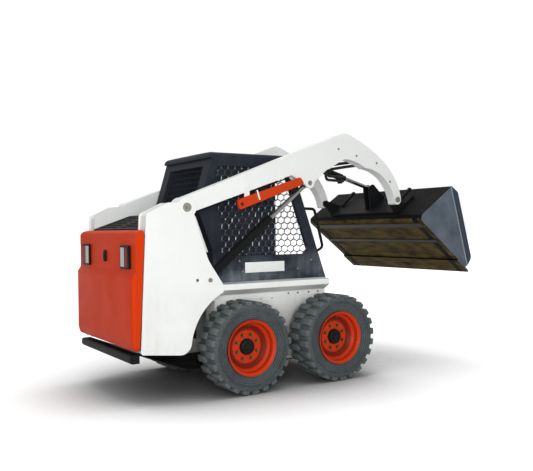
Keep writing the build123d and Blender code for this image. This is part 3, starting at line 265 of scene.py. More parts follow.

# %% [markdown]
# ## Painted shade and grime in the hollows
# Wheels throw mud into the recesses behind them, and nobody wipes it off, and shade falls there too: the
# colour here is painted shade together with that mud. Ambient occlusion tells how closed in a point is, so
# it finds those recesses by itself. Height limits the darkening to what a wheel can reach.

# %% Painted shade and grime in the hollows
SHADE_AND_MUD_FULL, SHADE_AND_MUD_END = 600 * MM, 750 * MM


def shade_and_grime(finish, tint, reach):
    tree = finish.node_tree
    place = node(tree, "TexCoord", out="Object")
    height = node(tree, "SeparateXYZ", {"Vector": place}, out="Z")
    open_air = node(tree, "AmbientOcclusion", {"Distance": reach}, out="AO", samples=8)
    closed = {"From Min": 0.3, "From Max": 0.75, "To Min": 1.0, "To Max": 0.0}
    shaded_hollow = node(tree, "MapRange", {"Value": open_air, **closed})
    below = {"From Min": SHADE_AND_MUD_FULL, "From Max": SHADE_AND_MUD_END, "To Min": 0.9, "To Max": 0.0}
    near_ground = node(tree, "MapRange", {"Value": height, **below})
    lay_over(finish, node(tree, "Math", {0: shaded_hollow, 1: near_ground}, operation="MULTIPLY"), tint)


# Both calls paint shade into the recesses near the ground, together with the mud there.
shade_and_grime(white_enamel, "#2C2A27", 300 * MM)
shade_and_grime(wheel_enamel, "#2E0E0A", 150 * MM)
print("splashes end at", SHADE_AND_MUD_END, "m")

# %% [markdown]
# ## The wheels' wells
# A wheel's disc meets its rim in a deep ring-shaped well, where dirt and shade gather. We find the ring
# by its distance from the nearer axle in the side view, and darken the paint there. That also works on
# both sides of the machine, because a side view can't tell left from right.

# %% The wheels' wells
WELL_INNER, WELL_OUTER, WELL_EDGE = 142 * MM, 186 * MM, 14 * MM
SIDE_VIEW = (1.0, 0.0, 1.0)
tree = wheel_enamel.node_tree
place = node(tree, "TexCoord", out="Object")
flat = node(tree, "VectorMath", {0: place, 1: SIDE_VIEW}, operation="MULTIPLY")
reach = [
    node(tree, "VectorMath", {0: flat, 1: (x, 0.0, z)}, out="Value", operation="DISTANCE") for x, z in AXLES
]
radius = node(tree, "Math", {0: reach[0], 1: reach[1]}, operation="MINIMUM")
rise = (WELL_INNER - WELL_EDGE, WELL_INNER)
fall = (WELL_OUTER - WELL_EDGE, WELL_OUTER)
# The dark ring is painted shade of the deep well, with some dirt in it.
lay_over(wheel_enamel, band(tree, radius, rise, fall, peak=0.8), "#4A120A")
print("well from", WELL_INNER, "to", WELL_OUTER, "m")

# %% [markdown]
# ## Support bar
# The bar that holds the raised arms for service is orange, and the bracket on top of it is white. A paint
# shop masks such an edge with tape. A plane through the bar's upper edge does the same here: everything
# above the plane gets the second colour.

# %% Support bar
BAR_TOP, BAR_TOP_AT = (-0.305, 0.0, 0.952), 1.737
TAPE = 1 * MM
# Bright orange with a crisp white top.
support_enamel = enamel("orange_bar_with_white_bracket", "#C23C12", "#B07A58", dust_and_sheen=0.2)
tree = support_enamel.node_tree
place = node(tree, "TexCoord", out="Object")
above = node(tree, "VectorMath", {0: place, 1: BAR_TOP}, out="Value", operation="DOT_PRODUCT")
masked = {"Value": above, "From Min": BAR_TOP_AT, "From Max": BAR_TOP_AT + TAPE}
lay_over(support_enamel, node(tree, "MapRange", masked), "#E6E8E6")
print("mask at", BAR_TOP_AT, "m along", BAR_TOP)

# %% [markdown]
# ## Rubber
# Rubber that has been used outdoors is grey rather than black: dust sits in its pores, and it scatters
# light with hardly any gloss. Two noises, one of 14 mm and one of 160 mm, make the dust uneven. Hoses
# are the same stuff in a darker shade.

# %% Rubber
RUBBER_GRAIN = {"Scale": 1 / (14 * MM), "Detail": 5.0, "Roughness": FINE_SHARE}
RUBBER_CLOUD = {"Scale": 1 / (160 * MM), "Detail": 4.0, "Roughness": FINE_SHARE}
PORE_DEEP = 1 * MM


def rubber(name, dark, pale):
    finish, tree, shader, place = new_finish(name, Roughness=0.8, Specular_IOR_Level=0.3)
    grain = node(tree, "TexNoise", {"Vector": place, **RUBBER_GRAIN})
    cloud = node(tree, "TexNoise", {"Vector": place, **RUBBER_CLOUD})
    both = node(tree, "Math", {0: grain, 1: cloud}, operation="MULTIPLY")
    dusty = node(tree, "MapRange", {"Value": both, "From Min": 0.15, "From Max": 0.4})
    tone = {SHARE: dusty, UNDER: colour(dark), OVER: colour(pale)}
    fill(tree, shader, {
        "Base Color": node(tree, "Mix", tone, **COLOUR_MIX),
        "Normal": node(tree, "Bump", {"Height": grain, "Strength": 0.25, "Distance": PORE_DEEP}),
    })
    return finish


# Dull dark grey that takes its form from soft light.
tyre_rubber = rubber("dusty_tyre_rubber", "#2E3336", "#474D4F")
# Nearly black, so that the hoses read as lines.
hose_rubber = rubber("black_hose_rubber", "#121314", "#26272A")
print("rubbers ready:", tyre_rubber.name, hose_rubber.name)

# %% [markdown]
# ## Wear and painted ring highlights on the tyres
# The tyre meshes below carry a number at each point, nought at the bead and one at the top of a bar. The
# bars are scuffed paler from about half of that, where they meet the ground. The sidewall shows the
# fine rings that the mould leaves. A ping-pong of the same number draws them as paler lines, a painted
# highlight along each ring, wider apart than the real ones, which would be too fine to show.

# %% Wear and painted ring highlights on the tyres
RING_STEP = 0.06
tree = tyre_rubber.node_tree
place = node(tree, "TexCoord", out="Object")
wear = node(tree, "Attribute", out="Fac", attribute_name="tread")
grain = node(tree, "TexNoise", {"Vector": place, **RUBBER_GRAIN})
ring = node(tree, "Math", {0: wear, 1: RING_STEP}, operation="PINGPONG")
on_bars = node(tree, "MapRange", {"Value": wear, "From Min": 0.55, "From Max": 1.0})
rough = node(tree, "MapRange", {"Value": grain, "From Min": 0.3, "From Max": 0.6, "To Min": 0.4})
ring_highlight = node(tree, "MapRange", {"Value": ring, "From Min": 0.035, "From Max": 0.055})
sidewall = {"From Min": 0.4, "From Max": 0.5, "To Min": 0.5, "To Max": 0.0}
on_flank = node(tree, "MapRange", {"Value": wear, **sidewall})
for first, second in ((on_bars, rough), (ring_highlight, on_flank)):
    lay_over(tyre_rubber, node(tree, "Math", {0: first, 1: second}, operation="MULTIPLY"), "#626868")
print("a sidewall ring every", 2 * RING_STEP, "of the way up")

# %% [markdown]
# ## Chrome and zinc
# The cylinder rods are hard chrome, which oil and dust dull in patches. Bolts and pins are zinc plated and
# have gone cloudy. The wheel nuts have the yellow kind of plating. All three are true metals, so
# the patches change how sharply they mirror, and on zinc the colour too.

# %% Chrome and zinc
SMEAR, CLOUD = 30 * MM, 12 * MM


def plated(name, dull, bright):
    finish, tree, shader, place = new_finish(name, Metallic=1.0)
    spread = {"Scale": 1 / CLOUD, "Detail": 4.0, "Roughness": FINE_SHARE}
    cloudy = node(tree, "TexNoise", {"Vector": place, **spread})
    tone = {SHARE: cloudy, UNDER: colour(dull), OVER: colour(bright)}
    matt = {"From Min": 0.3, "From Max": 0.7, "To Min": 0.35, "To Max": 0.6}
    fill(tree, shader, {
        "Base Color": node(tree, "Mix", tone, **COLOUR_MIX),
        "Roughness": node(tree, "MapRange", {"Value": cloudy, **matt}),
    })
    return finish


# Pale metal with soft highlights on every bolt head.
zinc = plated("dull_zinc_plate", "#6A6862", "#A6A296")
# Olive metal, darker than the bolts, so that the nuts sink into the red wheel.
yellow_zinc = plated("yellow_zinc_plate", "#3E3A24", "#857A48")
# A mirror that goes dull in patches.
chrome, tree, shader, place = new_finish("hard_chrome", Metallic=1.0, Base_Color=colour("#7E7E7C"))
spread = {"Scale": 1 / SMEAR, "Detail": 3.0, "Roughness": FINE_SHARE}
smears = node(tree, "TexNoise", {"Vector": place, **spread})
matt = {"From Min": 0.2, "From Max": 0.8, "To Min": 0.08, "To Max": 0.3}
fill(tree, shader, {"Roughness": node(tree, "MapRange", {"Value": smears, **matt})})
print("metals ready:", zinc.name, yellow_zinc.name, chrome.name)

# %% [markdown]
# ## Bucket plate: which way a face looks
# The bucket is plain plate that digging has scoured. Its sides are blue-grey, its back is nearly black, its
# belly is brown with dried soil, and its inside is worn bright. All of that is one piece, so the
# direction that a face looks in tells the shader where it is. The bucket hangs tipped forward, and the
# directions for belly and inside are tipped with it.

# %% Bucket plate: which way a face looks
TIP = radians(37.8)
BELLY_WAY = (-sin(TIP), 0.0, -cos(TIP))
INSIDE_WAY = Vector((cos(TIP) + sin(TIP), 0.0, cos(TIP) - sin(TIP))).normalized()
# Dark steel with almost no shine, so that soil and scratches carry the form.
bucket_steel, tree, shader, place = new_finish("scoured_bucket_plate", Specular_IOR_Level=0.03)
facing = node(tree, "TexCoord", out="Normal")
facing_y = node(tree, "SeparateXYZ", {"Vector": facing}, out="Y")
sideways = node(tree, "Math", {0: facing_y}, operation="ABSOLUTE")
flank = node(tree, "MapRange", {"Value": sideways, "From Min": 0.6, "From Max": 0.9})
down = node(tree, "VectorMath", {0: facing, 1: BELLY_WAY}, out="Value", operation="DOT_PRODUCT")
belly = node(tree, "MapRange", {"Value": down, "From Min": 0.55, "From Max": 0.8})
inward = node(tree, "VectorMath", {0: facing, 1: INSIDE_WAY}, out="Value", operation="DOT_PRODUCT")
inside = node(tree, "MapRange", {"Value": inward, "From Min": 0.2, "From Max": 0.4})
print("belly looks along", [round(c, 2) for c in BELLY_WAY])

# %% [markdown]
# ## Bucket plate: back, inside and belly
# Earth slides over the plate from front to back, so the scratches on the back and the inside are noises
# drawn out that way. On the belly the soil dries in bands that run across. A dark stripe follows each
# end of the belly, as in the photograph.

# %% Bucket plate: back, inside and belly
SKID_INNER, SKID_OUTER, SKID_EDGE = 735 * MM, 800 * MM, 4 * MM
BUCKET_NOISES = {
    "grain": (120 * MM, 8.0, (1.0, 5.0, 1.0)),
    "scour": (45 * MM, 7.0, (0.3, 1.0, 0.3)),
    "smear": (70 * MM, 8.0, (1.0, 0.35, 1.0)),
    "cloud": (260 * MM, 5.0, (1.0, 1.0, 1.0)),
}
marks = {}
for name, (size, detail, stretch) in BUCKET_NOISES.items():
    drawn = node(tree, "Mapping", {"Vector": place, "Scale": stretch})
    spread = {"Scale": 1 / size, "Detail": detail, "Roughness": FINE_SHARE}
    marks[name] = node(tree, "TexNoise", {"Vector": drawn, **spread})
dark = {SHARE: marks["grain"], UNDER: colour("#070708"), OVER: colour("#161618")}
bare = {SHARE: marks["scour"], UNDER: colour("#3A3733"), OVER: colour("#7C766C")}
worn = {
    SHARE: inside,
    UNDER: node(tree, "Mix", dark, **COLOUR_MIX),
    OVER: node(tree, "Mix", bare, **COLOUR_MIX),
}
smeared = node(tree, "MapRange", {"Value": marks["smear"], "From Min": 0.32, "From Max": 0.68})
soil = {SHARE: smeared, UNDER: colour("#211C12"), OVER: colour("#6B5B33")}
place_y = node(tree, "SeparateXYZ", {"Vector": place}, out="Y")
across = node(tree, "Math", {0: place_y}, operation="ABSOLUTE")
rise = (SKID_INNER, SKID_INNER + SKID_EDGE)
fall = (SKID_OUTER, SKID_OUTER + SKID_EDGE)
stripe = {
    SHARE: band(tree, across, rise, fall),
    UNDER: node(tree, "Mix", soil, **COLOUR_MIX),
    OVER: colour("#1D1D1C"),
}
shell = {
    SHARE: belly,
    UNDER: node(tree, "Mix", worn, **COLOUR_MIX),
    OVER: node(tree, "Mix", stripe, **COLOUR_MIX),
}
print("bucket patterns:", list(marks))

# %% [markdown]
# ## Bucket plate: sides
# A second layer of plate follows the front edge of each side. It is a shade darker, and the weld along it
# shows as a row of pale beads. The edge is a slanted line in the side view, so one direction measures
# the distance from it, and the direction square to that counts the beads along it.

# %% Bucket plate: sides
FRONT_EDGE, FRONT_EDGE_AT = (0.962, 0.0, 0.273), 1.922
ALONG_EDGE = (-FRONT_EDGE[2], 0.0, FRONT_EDGE[0])
DOUBLER, DOUBLER_EDGE = 75 * MM, 3 * MM
BEAD_PITCH, WELD_HALF, WELD_EDGE = 22 * MM, 7 * MM, 1 * MM
LAP = FRONT_EDGE_AT - DOUBLER
cloud = node(tree, "MapRange", {"Value": marks["cloud"], "From Min": 0.3, "From Max": 0.7})
side = {SHARE: cloud, UNDER: colour("#49515C"), OVER: colour("#6C7581")}
ahead = node(tree, "VectorMath", {0: place, 1: FRONT_EDGE}, out="Value", operation="DOT_PRODUCT")
run = node(tree, "VectorMath", {0: place, 1: ALONG_EDGE}, out="Value", operation="DOT_PRODUCT")
stitch = node(tree, "Math", {0: run, 1: BEAD_PITCH / 2}, operation="PINGPONG")
bead = node(tree, "MapRange", {"Value": stitch, "From Min": 0.2 * BEAD_PITCH, "From Max": 0.3 * BEAD_PITCH})
rise = (LAP - WELD_HALF, LAP - WELD_HALF + WELD_EDGE)
fall = (LAP + WELD_HALF - WELD_EDGE, LAP + WELD_HALF)
weld = node(tree, "Math", {0: band(tree, ahead, rise, fall), 1: bead}, operation="MULTIPLY")
lapped = {
    SHARE: node(tree, "MapRange", {"Value": ahead, "From Min": LAP, "From Max": LAP + DOUBLER_EDGE}),
    UNDER: node(tree, "Mix", side, **COLOUR_MIX),
    OVER: colour("#3D454F"),
}
welded = {SHARE: weld, UNDER: node(tree, "Mix", lapped, **COLOUR_MIX), OVER: colour("#C3C9CE")}
print("weld at", round(LAP, 3), "m along the edge's direction")

# %% [markdown]
# ## Bucket plate: put together
# The flank's share decides between the shell's colours and the side's. The same stretched grain that
# darkens the back also roughens the plate and dents it by up to 1.5 mm.

# %% Bucket plate: put together
DENT = 1.5 * MM
whole = {
    SHARE: flank,
    UNDER: node(tree, "Mix", shell, **COLOUR_MIX),
    OVER: node(tree, "Mix", welded, **COLOUR_MIX),
}
matt = {"From Min": 0.2, "From Max": 0.8, "To Min": 0.4, "To Max": 0.75}
eased = node(tree, "Bevel", {"Radius": EDGE}, samples=4)
dents = {"Height": marks["grain"], "Strength": 0.3, "Distance": DENT, "Normal": eased}
fill(tree, shader, {
    "Base Color": node(tree, "Mix", whole, **COLOUR_MIX),
    "Roughness": node(tree, "MapRange", {"Value": marks["grain"], **matt}),
    "Normal": node(tree, "Bump", dents),
})
print("bucket plate has", len(tree.nodes), "shader nodes")

# %% [markdown]
# ## Wear strips and screens
# The strips under the bucket are scraped along their length. The screens are painted dark, and some of their
# bonds, the short upright bridges between two cells, carry pale painted glints, where a leaning strand
# would catch the light. Their mesh marks those faces with a one.

# %% Wear strips and screens
SCRAPE, GLINT_PATCH = 60 * MM, 40 * MM
# Dark steel with long pale scrapes.
strip_steel, tree, shader, place = new_finish("worn_strip_steel", Metallic=0.3, Roughness=0.6)
drawn = node(tree, "Mapping", {"Vector": place, "Scale": (1.0, 0.1, 1.0)})
spread = {"Scale": 1 / SCRAPE, "Detail": 6.0, "Roughness": FINE_SHARE}
scrapes = node(tree, "TexNoise", {"Vector": drawn, **spread})
tone = {SHARE: scrapes, UNDER: colour("#121313"), OVER: colour("#2E2F2C")}
fill(tree, shader, {"Base Color": node(tree, "Mix", tone, **COLOUR_MIX)})

# A dark mesh with scattered painted glints on its bonds.
glinting_screen_paint, tree, shader, place = new_finish("screen_paint_with_painted_glints", Roughness=0.4)
bond = node(tree, "Attribute", out="Fac", attribute_name="bond")
spread = {"Scale": 1 / GLINT_PATCH, "Detail": 2.0, "Roughness": FINE_SHARE}
glint_noise = node(tree, "TexNoise", {"Vector": place, **spread})
glint_share = node(tree, "MapRange", {"Value": glint_noise, "From Min": 0.47, "From Max": 0.6})
painted_glint = node(tree, "Math", {0: bond, 1: glint_share}, operation="MULTIPLY")
tone = {SHARE: painted_glint, UNDER: colour("#272C32"), OVER: colour("#C9CFD2")}
fill(tree, shader, {"Base Color": node(tree, "Mix", tone, **COLOUR_MIX)})
print("worn finishes ready:", strip_steel.name, glinting_screen_paint.name)

# %% [markdown]
# ## Lenses
# Lamp lenses are moulded with fine upright ribs, which spread the light. A wave pattern with a 7 mm pitch
# stands for them, as a bump and as darker lines, which are painted shade of the ribs. The renderer's wave
# turns 20 radians in a metre for each unit of its scale, so the scale follows from the pitch. The lamps
# are off, and a solid coloured plastic is all that shows.

# %% Lenses
RIB_PITCH, RIB_DEEP = 7 * MM, 1 * MM
WAVE_TURN = 20


def lens(name, tint, rib_shade):
    finish, tree, shader, place = new_finish(name, Roughness=0.25, Specular_IOR_Level=0.04)
    pitch = {"Scale": 2 * pi / (WAVE_TURN * RIB_PITCH)}
    ribs = node(tree, "TexWave", {"Vector": place, **pitch}, bands_direction="Y")
    tone = {SHARE: ribs, UNDER: colour(tint), OVER: colour(rib_shade)}
    fill(tree, shader, {
        "Base Color": node(tree, "Mix", tone, **COLOUR_MIX),
        "Normal": node(tree, "Bump", {"Height": ribs, "Strength": 0.1, "Distance": RIB_DEEP}),
    })
    return finish


# Milky white with grey lines of painted rib shade.
clear_lens = lens("clear_ribbed_lens", "#DADAD4", "#9C9C98")
# A deep red with darker lines of painted rib shade.
red_lens = lens("red_ribbed_lens", "#8A0F14", "#36040A")
print("lens ribs every", RIB_PITCH, "m")

# %% [markdown]
# ## Seat vinyl
# The seat has a vinyl cover with a pebbled grain. A real grain of about 1 mm is too fine to show, so the
# cells here are 3 mm across.

# %% Seat vinyl
PEBBLE, PEBBLE_DEEP, FADE = 3 * MM, 0.5 * MM, 90 * MM
# Black with a soft sheen, faded in clouds.
seat_vinyl, tree, shader, place = new_finish("black_seat_vinyl", Roughness=0.5)
pebbles = node(tree, "TexVoronoi", {"Vector": place, "Scale": 1 / PEBBLE})
spread = {"Scale": 1 / FADE, "Detail": 4.0, "Roughness": FINE_SHARE}
faded = node(tree, "TexNoise", {"Vector": place, **spread})
tone = {SHARE: faded, UNDER: colour("#131314"), OVER: colour("#2A2A2B")}
fill(tree, shader, {
    "Base Color": node(tree, "Mix", tone, **COLOUR_MIX),
    "Normal": node(tree, "Bump", {"Height": pebbles, "Strength": 0.3, "Distance": PEBBLE_DEEP}),
})
print("vinyl ready:", seat_vinyl.name)

# %% [markdown]
# ## Finishes on the frame's pieces
# Each piece from the frame keeps its shape and only changes its material. The table says which finish
# goes on which family of pieces, by the start of their names. The longest match wins, and everything
# else is black.

# %% Dress the frame
FINISHES = {
    tyre_rubber: ["tyre_"],
    hose_rubber: ["tilt_hoses"],
    wheel_enamel: ["rim_"],
    white_enamel: [
        "chaincase_", "fender_", "upright_", "lift_arm_left", "lift_arm_right", "arm_crossmember",
    ],
    red_enamel: ["tailgate"],
    support_enamel: ["lift_arm_support"],
    cab_enamel: ["cab_", "rear_screen"],
    chrome: ["lift_rod_", "tilt_rod"],
    bucket_steel: ["bucket_shell", "cutting_edge"],
    strip_steel: ["wear_strips"],
    bezel_plastic: ["tail_lamps", "tailgate_latch"],
    clear_lens: ["clear_lenses"],
    red_lens: ["red_lenses"],
}
for name, piece in nodes.items():
    finish = black_enamel
    longest = 0
    for candidate, starts in FINISHES.items():
        for start in starts:
            if name.startswith(start) and len(start) > longest:
                finish, longest = candidate, len(start)
    for material_slot in piece.material_slots:
        material_slot.material = finish
print("dressed", len(nodes), "pieces")

# %% [markdown]
# ## Adding pieces
# New pieces are built as loose shapes with mesh operators, in the machine's own coordinates, and then
# handed to one function. It welds and cleans the shape, gives it a finish and ties it to the body that
# carries it.

# %% Adding pieces
WELD_REACH = 0.02 * MM


def add_piece(name, shape, finish, body, sharp=35):
    bmesh.ops.remove_doubles(shape, verts=shape.verts[:], dist=WELD_REACH)
    bmesh.ops.recalc_face_normals(shape, faces=shape.faces[:])
    mesh = bpy.data.meshes.new(name)
    shape.to_mesh(mesh)
    shape.free()
    mesh.shade_smooth()
    mesh.set_sharp_from_angle(angle=radians(sharp))
    mesh.materials.append(finish)
    piece = bpy.data.objects.new(name, mesh)
    scene.collection.objects.link(piece)
    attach(piece, body)
    print(name, "has", len(mesh.polygons), "faces")
    return piece


print("points closer than", WELD_REACH, "m become one")

# %% [markdown]
# ## Pegs, bolts and slabs
# Pins, bolts and nuts are round or six-sided things that stand on a point of a panel and look along a
# direction, so they share one helper. A bolt is a hexagon head on its washer. A slab is a piece of
# sheet with eased edges.

# %% Pegs, bolts and slabs
WASHER_SHARE, HEAD_SHARE, HEAD_WIDE, HEAD_TAPER = 0.2, 0.6, 0.8, 0.94


def peg(shape, foot, way, radius, tall, sides=24, top=1.0):
    stand = Matrix.Translation(foot) @ Vector(way).to_track_quat("Z", "Y").to_matrix().to_4x4()
    raised = stand @ Matrix.Translation((0, 0, tall / 2))
    bmesh.ops.create_cone(
        shape, cap_ends=True, segments=sides, radius1=radius, radius2=radius * top, depth=tall, matrix=raised,
    )


def bolt(shape, foot, way, size):
    washer = WASHER_SHARE * size
    peg(shape, foot, way, size, washer)
    peg(shape, foot + way * washer, way, HEAD_WIDE * size, HEAD_SHARE * size, sides=6, top=HEAD_TAPER)


def slab(shape, centre, size, ease, slant=0.0):
    place = Matrix.Translation(centre) @ Matrix.Rotation(slant, 4, "Y") @ Matrix.Diagonal((*size, 1.0))
    made = bmesh.ops.create_cube(shape, size=1.0, matrix=place)["verts"]
    edges = list({edge for vert in made for edge in vert.link_edges})
    bmesh.ops.bevel(
        shape, geom=edges, offset=ease, offset_type="OFFSET", segments=2, profile=0.5, affect="EDGES",
        material=-1,
    )


print("a bolt stands", WASHER_SHARE + HEAD_SHARE, "of its washer's radius proud")

# %% [markdown]
# ## Tyres: the casing
# A loader's tyre has a stiff, bulging sidewall between the bead, which grips the rim, and the shoulder.
# The casing is one outline turned round the axle, as a tyre is built on its drum. The outline runs from
# one bead over the tread to the other, and a small rib stands just above the bead.

# %% Tyres: the casing
BEAD_RADIUS, BEAD_HALF = 228 * MM, 106 * MM
BEAD_TOE, BEAD_TUCK, BEAD_STEP = 14 * MM, 2 * MM, 4 * MM
FLANK_STEPS, FLANK_ROOM, RIB = 8, 5 * MM, 2.5 * MM
SHOULDER_DROP, CROWN_DROP = 44 * MM, 25 * MM
SHOULDER_EASE, CROWN_EASE = 7 * MM, 18 * MM


def tyre_outline(radius, half_width):
    outline = [(BEAD_HALF - BEAD_TUCK, BEAD_RADIUS - BEAD_TOE), (BEAD_HALF, BEAD_RADIUS)]
    flank = radius - SHOULDER_DROP - BEAD_RADIUS
    for step in range(FLANK_STEPS + 1):
        rise = step / FLANK_STEPS
        rib = RIB if step == 1 else 0.0
        bulge = BEAD_HALF + BEAD_STEP + (half_width - BEAD_HALF - FLANK_ROOM) * sin(rise * pi / 2)
        outline.append((bulge + rib, BEAD_RADIUS + BEAD_STEP + rise * (flank - BEAD_STEP)))
    outline.append((half_width - SHOULDER_EASE, radius - CROWN_DROP - SHOULDER_EASE))
    outline.append((half_width - CROWN_EASE, radius - CROWN_DROP))
    return outline + [(-side, height) for side, height in reversed(outline)]


print("casing outline has", 2 * (FLANK_STEPS + 5), "points")

# %% [markdown]
# ## Tyres: the bars
# Deep bars bite into soft ground. They are tapered blocks, wider at the foot than at the top, and reach
# from near the middle of the tread to the shoulder. They keep the places and the height of the bars in
# the frame, whose plain solids the new tyres replace.

# %% Tyres: the bars
BARS = 24
BAR_WIDE, BAR_EASE, BAR_SINK = 56 * MM, 5 * MM, 8 * MM
TOP_SHARE, FOOT_SHARE = 0.46, 0.52
TOP_PULL, FOOT_PULL, MIDDLE_GAP = 4 * MM, 0.5 * MM, 5 * MM


def tread_bar(shape, centre, radius, half_width, angle, side):
    outward = Vector((cos(angle), 0, sin(angle)))
    along = Vector((-sin(angle), 0, cos(angle)))
    top = (radius**2 - (BAR_WIDE / 2) ** 2) ** 0.5
    made = bmesh.ops.create_cube(shape, size=1.0)["verts"]
    for vert in made:
        at_top, at_shoulder = vert.co.z > 0, vert.co.y > 0
        height = top if at_top else radius - CROWN_DROP - BAR_SINK
        reach = (half_width - (TOP_PULL if at_top else FOOT_PULL)) if at_shoulder else MIDDLE_GAP
        wide = BAR_WIDE * (TOP_SHARE if at_top else FOOT_SHARE) * (1 if vert.co.x > 0 else -1)
        vert.co = centre + outward * height + along * wide + Vector((0, side * reach, 0))


print("bars on each tyre:", 2 * BARS)

# %% [markdown]
# ## Tyres: put together
# Two rings of bars stand half a pitch apart. Their edges are eased as they come out of the mould. Then the
# casing is spun in between, and every point gets its number for the wear, from the bead outwards.

# %% Tyres: put together
SPIN_STEPS = 96


def tyre(end, hand):
    node_name = f"tyre_{end}_{hand}"
    low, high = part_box(node_name)
    centre = (Vector(low) + Vector(high)) / 2
    radius = (high[2] - low[2]) / 2
    half_width = (high[1] - low[1]) / 2
    first = asin(BAR_WIDE / 2 / radius)
    shape = bmesh.new()
    for bar in range(BARS):
        for half, shift in ((1, 0.0), (-1, pi / BARS)):
            angle = first + shift + bar * 2 * pi / BARS
            tread_bar(shape, centre, radius, half_width, angle, half * SIDES[hand])
    bmesh.ops.bevel(
        shape, geom=shape.edges[:], offset=BAR_EASE, offset_type="OFFSET", segments=2, profile=0.5,
        affect="EDGES", material=-1,
    )
    outline = tyre_outline(radius, half_width)
    ring = [shape.verts.new(centre + Vector((0, side, height))) for side, height in outline]
    loop = [shape.edges.new((ring[i - 1], ring[i])) for i in range(len(ring))]
    bmesh.ops.spin(
        shape, geom=ring + loop, cent=centre, axis=(0, 1, 0), angle=2 * pi, steps=SPIN_STEPS, use_merge=True,
    )
    tread = shape.verts.layers.float.new("tread")
    for vert in shape.verts:
        reach = Vector((vert.co.x - centre.x, vert.co.z - centre.z)).length
        vert[tread] = (reach - BEAD_RADIUS) / (radius - BEAD_RADIUS)
    made = add_piece(
        f"treaded_tyre_{end}_{hand}", shape, tyre_rubber, f"wheel_{end}_{hand}", sharp=50,
    )
    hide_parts(node_name)


for end in ENDS:
    for hand in SIDES:
        tyre(end, hand)

# %% [markdown]
# ## Wheel nuts
# Eight nuts hold each wheel to its hub, on a circle of about 200 mm. Each is a hexagon on a washer, with
# the end of its stud showing. The hub has a small centre cap, and a short valve stem stands in the
# dished part of the disc.

# %% Wheel nuts
NUTS, NUT_CIRCLE = 8, 101.5 * MM
WASHER_RADIUS, WASHER_THICK = 15 * MM, 3 * MM
NUT_RADIUS, NUT_TALL = 12 * MM, 13 * MM
STUD_RADIUS, STUD_TALL = 7 * MM, 5 * MM
VALVE_CIRCLE, VALVE_RADIUS, VALVE_TALL = 172 * MM, 5 * MM, 22 * MM
CAP_RADIUS, CAP_TALL = 34 * MM, 5 * MM
DISC_DEEP, VALVE_DEEP = 94 * MM, 79 * MM
DISC_FACE = RIM_FACE - DISC_DEEP
VALVE_FACE = RIM_FACE - VALVE_DEEP


def wheel_fittings(end, hand):
    low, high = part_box(f"tyre_{end}_{hand}")
    axle = Vector(((low[0] + high[0]) / 2, 0, (low[2] + high[2]) / 2))
    out = Vector((0, SIDES[hand], 0))
    shape = bmesh.new()
    for nut in range(NUTS):
        angle = (nut + 0.5) * 2 * pi / NUTS
        foot = axle + Vector((cos(angle), 0, sin(angle))) * NUT_CIRCLE + out * DISC_FACE
        peg(shape, foot, out, WASHER_RADIUS, WASHER_THICK)
        foot += out * WASHER_THICK
        peg(shape, foot, out, NUT_RADIUS, NUT_TALL, sides=6, top=0.95)
        foot += out * NUT_TALL
        peg(shape, foot, out, STUD_RADIUS, STUD_TALL, sides=12, top=0.85)
    valve = axle + Vector((0, 0, VALVE_CIRCLE)) + out * VALVE_FACE
    peg(shape, valve, out, VALVE_RADIUS, VALVE_TALL, sides=10, top=0.8)
    add_piece(f"wheel_nuts_{end}_{hand}", shape, yellow_zinc, f"wheel_{end}_{hand}")
    cap = bmesh.new()
    peg(cap, axle + out * HUB_FACE, out, CAP_RADIUS, CAP_TALL, sides=40, top=0.9)
    add_piece(f"hub_cap_{end}_{hand}", cap, black_enamel, f"wheel_{end}_{hand}")


for end in ENDS:
    for hand in SIDES:
        wheel_fittings(end, hand)

# %% [markdown]
# ## Pins and bolts: places
# Each hinge of the linkage turns on a thick pin. Its head shows on the outside as a disc that a bolt keeps
# from turning. Smaller bolts hold the hose clips to the arms and the fenders to the chain cases, and a
# few more hold the cab's lower panels. Their places are read from the photograph, in the side view. The
# lift rods have no hinge in the frame at their eyes, so the middle of an eye is written down too.

# %% Pins and bolts: places
LIFT_EYE = (-0.048, 1.726)
ARM_BOLTS = [(0.271, 2.036), (0.479, 1.985), (0.720, 1.928), (0.884, 1.760)]
FENDER_BOLTS = [(-0.186, 0.766), (-0.086, 0.766), (0.032, 0.766), (0.135, 0.766)]
CAB_BOLTS = [(-0.667, 1.065), (0.080, 1.051), (-0.071, 0.978), (-0.637, 0.974)]
FENDER_STEP = 21 * MM
FENDER_FACE = CAB_FACE + FENDER_STEP
ARM_BOLT, FENDER_BOLT, CAB_BOLT = 10 * MM, 9 * MM, 8 * MM
PIVOT_RADIUS, BASE_RADIUS, EYE_RADIUS, HINGE_RADIUS = 36 * MM, 18 * MM, 22 * MM, 28 * MM
UPRIGHT_HEAD = {"thick": 6 * MM, "keeper": 15 * MM, "sides": 40}
EYE_HEAD = {"thick": 5 * MM, "keeper": 14 * MM, "sides": 36}
HINGE_HEAD = {"thick": 5 * MM, "keeper": 12 * MM, "sides": 32}
HEAD_EDGE = 0.96


def on_side(place, face, side):
    return Vector((place[0], side * face, place[1]))


def pin_head(shape, place, face, side, radius, thick, keeper, sides):
    out = Vector((0, side, 0))
    peg(shape, on_side(place, face, side), out, radius, thick, sides=sides, top=HEAD_EDGE)
    bolt(shape, on_side(place, face + thick, side), out, keeper)


print("small bolts on each side:", len(ARM_BOLTS + FENDER_BOLTS + CAB_BOLTS))

# %% [markdown]
# ## Pins and bolts: fitted
# Each body gets its own piece, so that the heads on the arms rise with the arms and the caps on the bucket's
# hinge turn with the bucket.

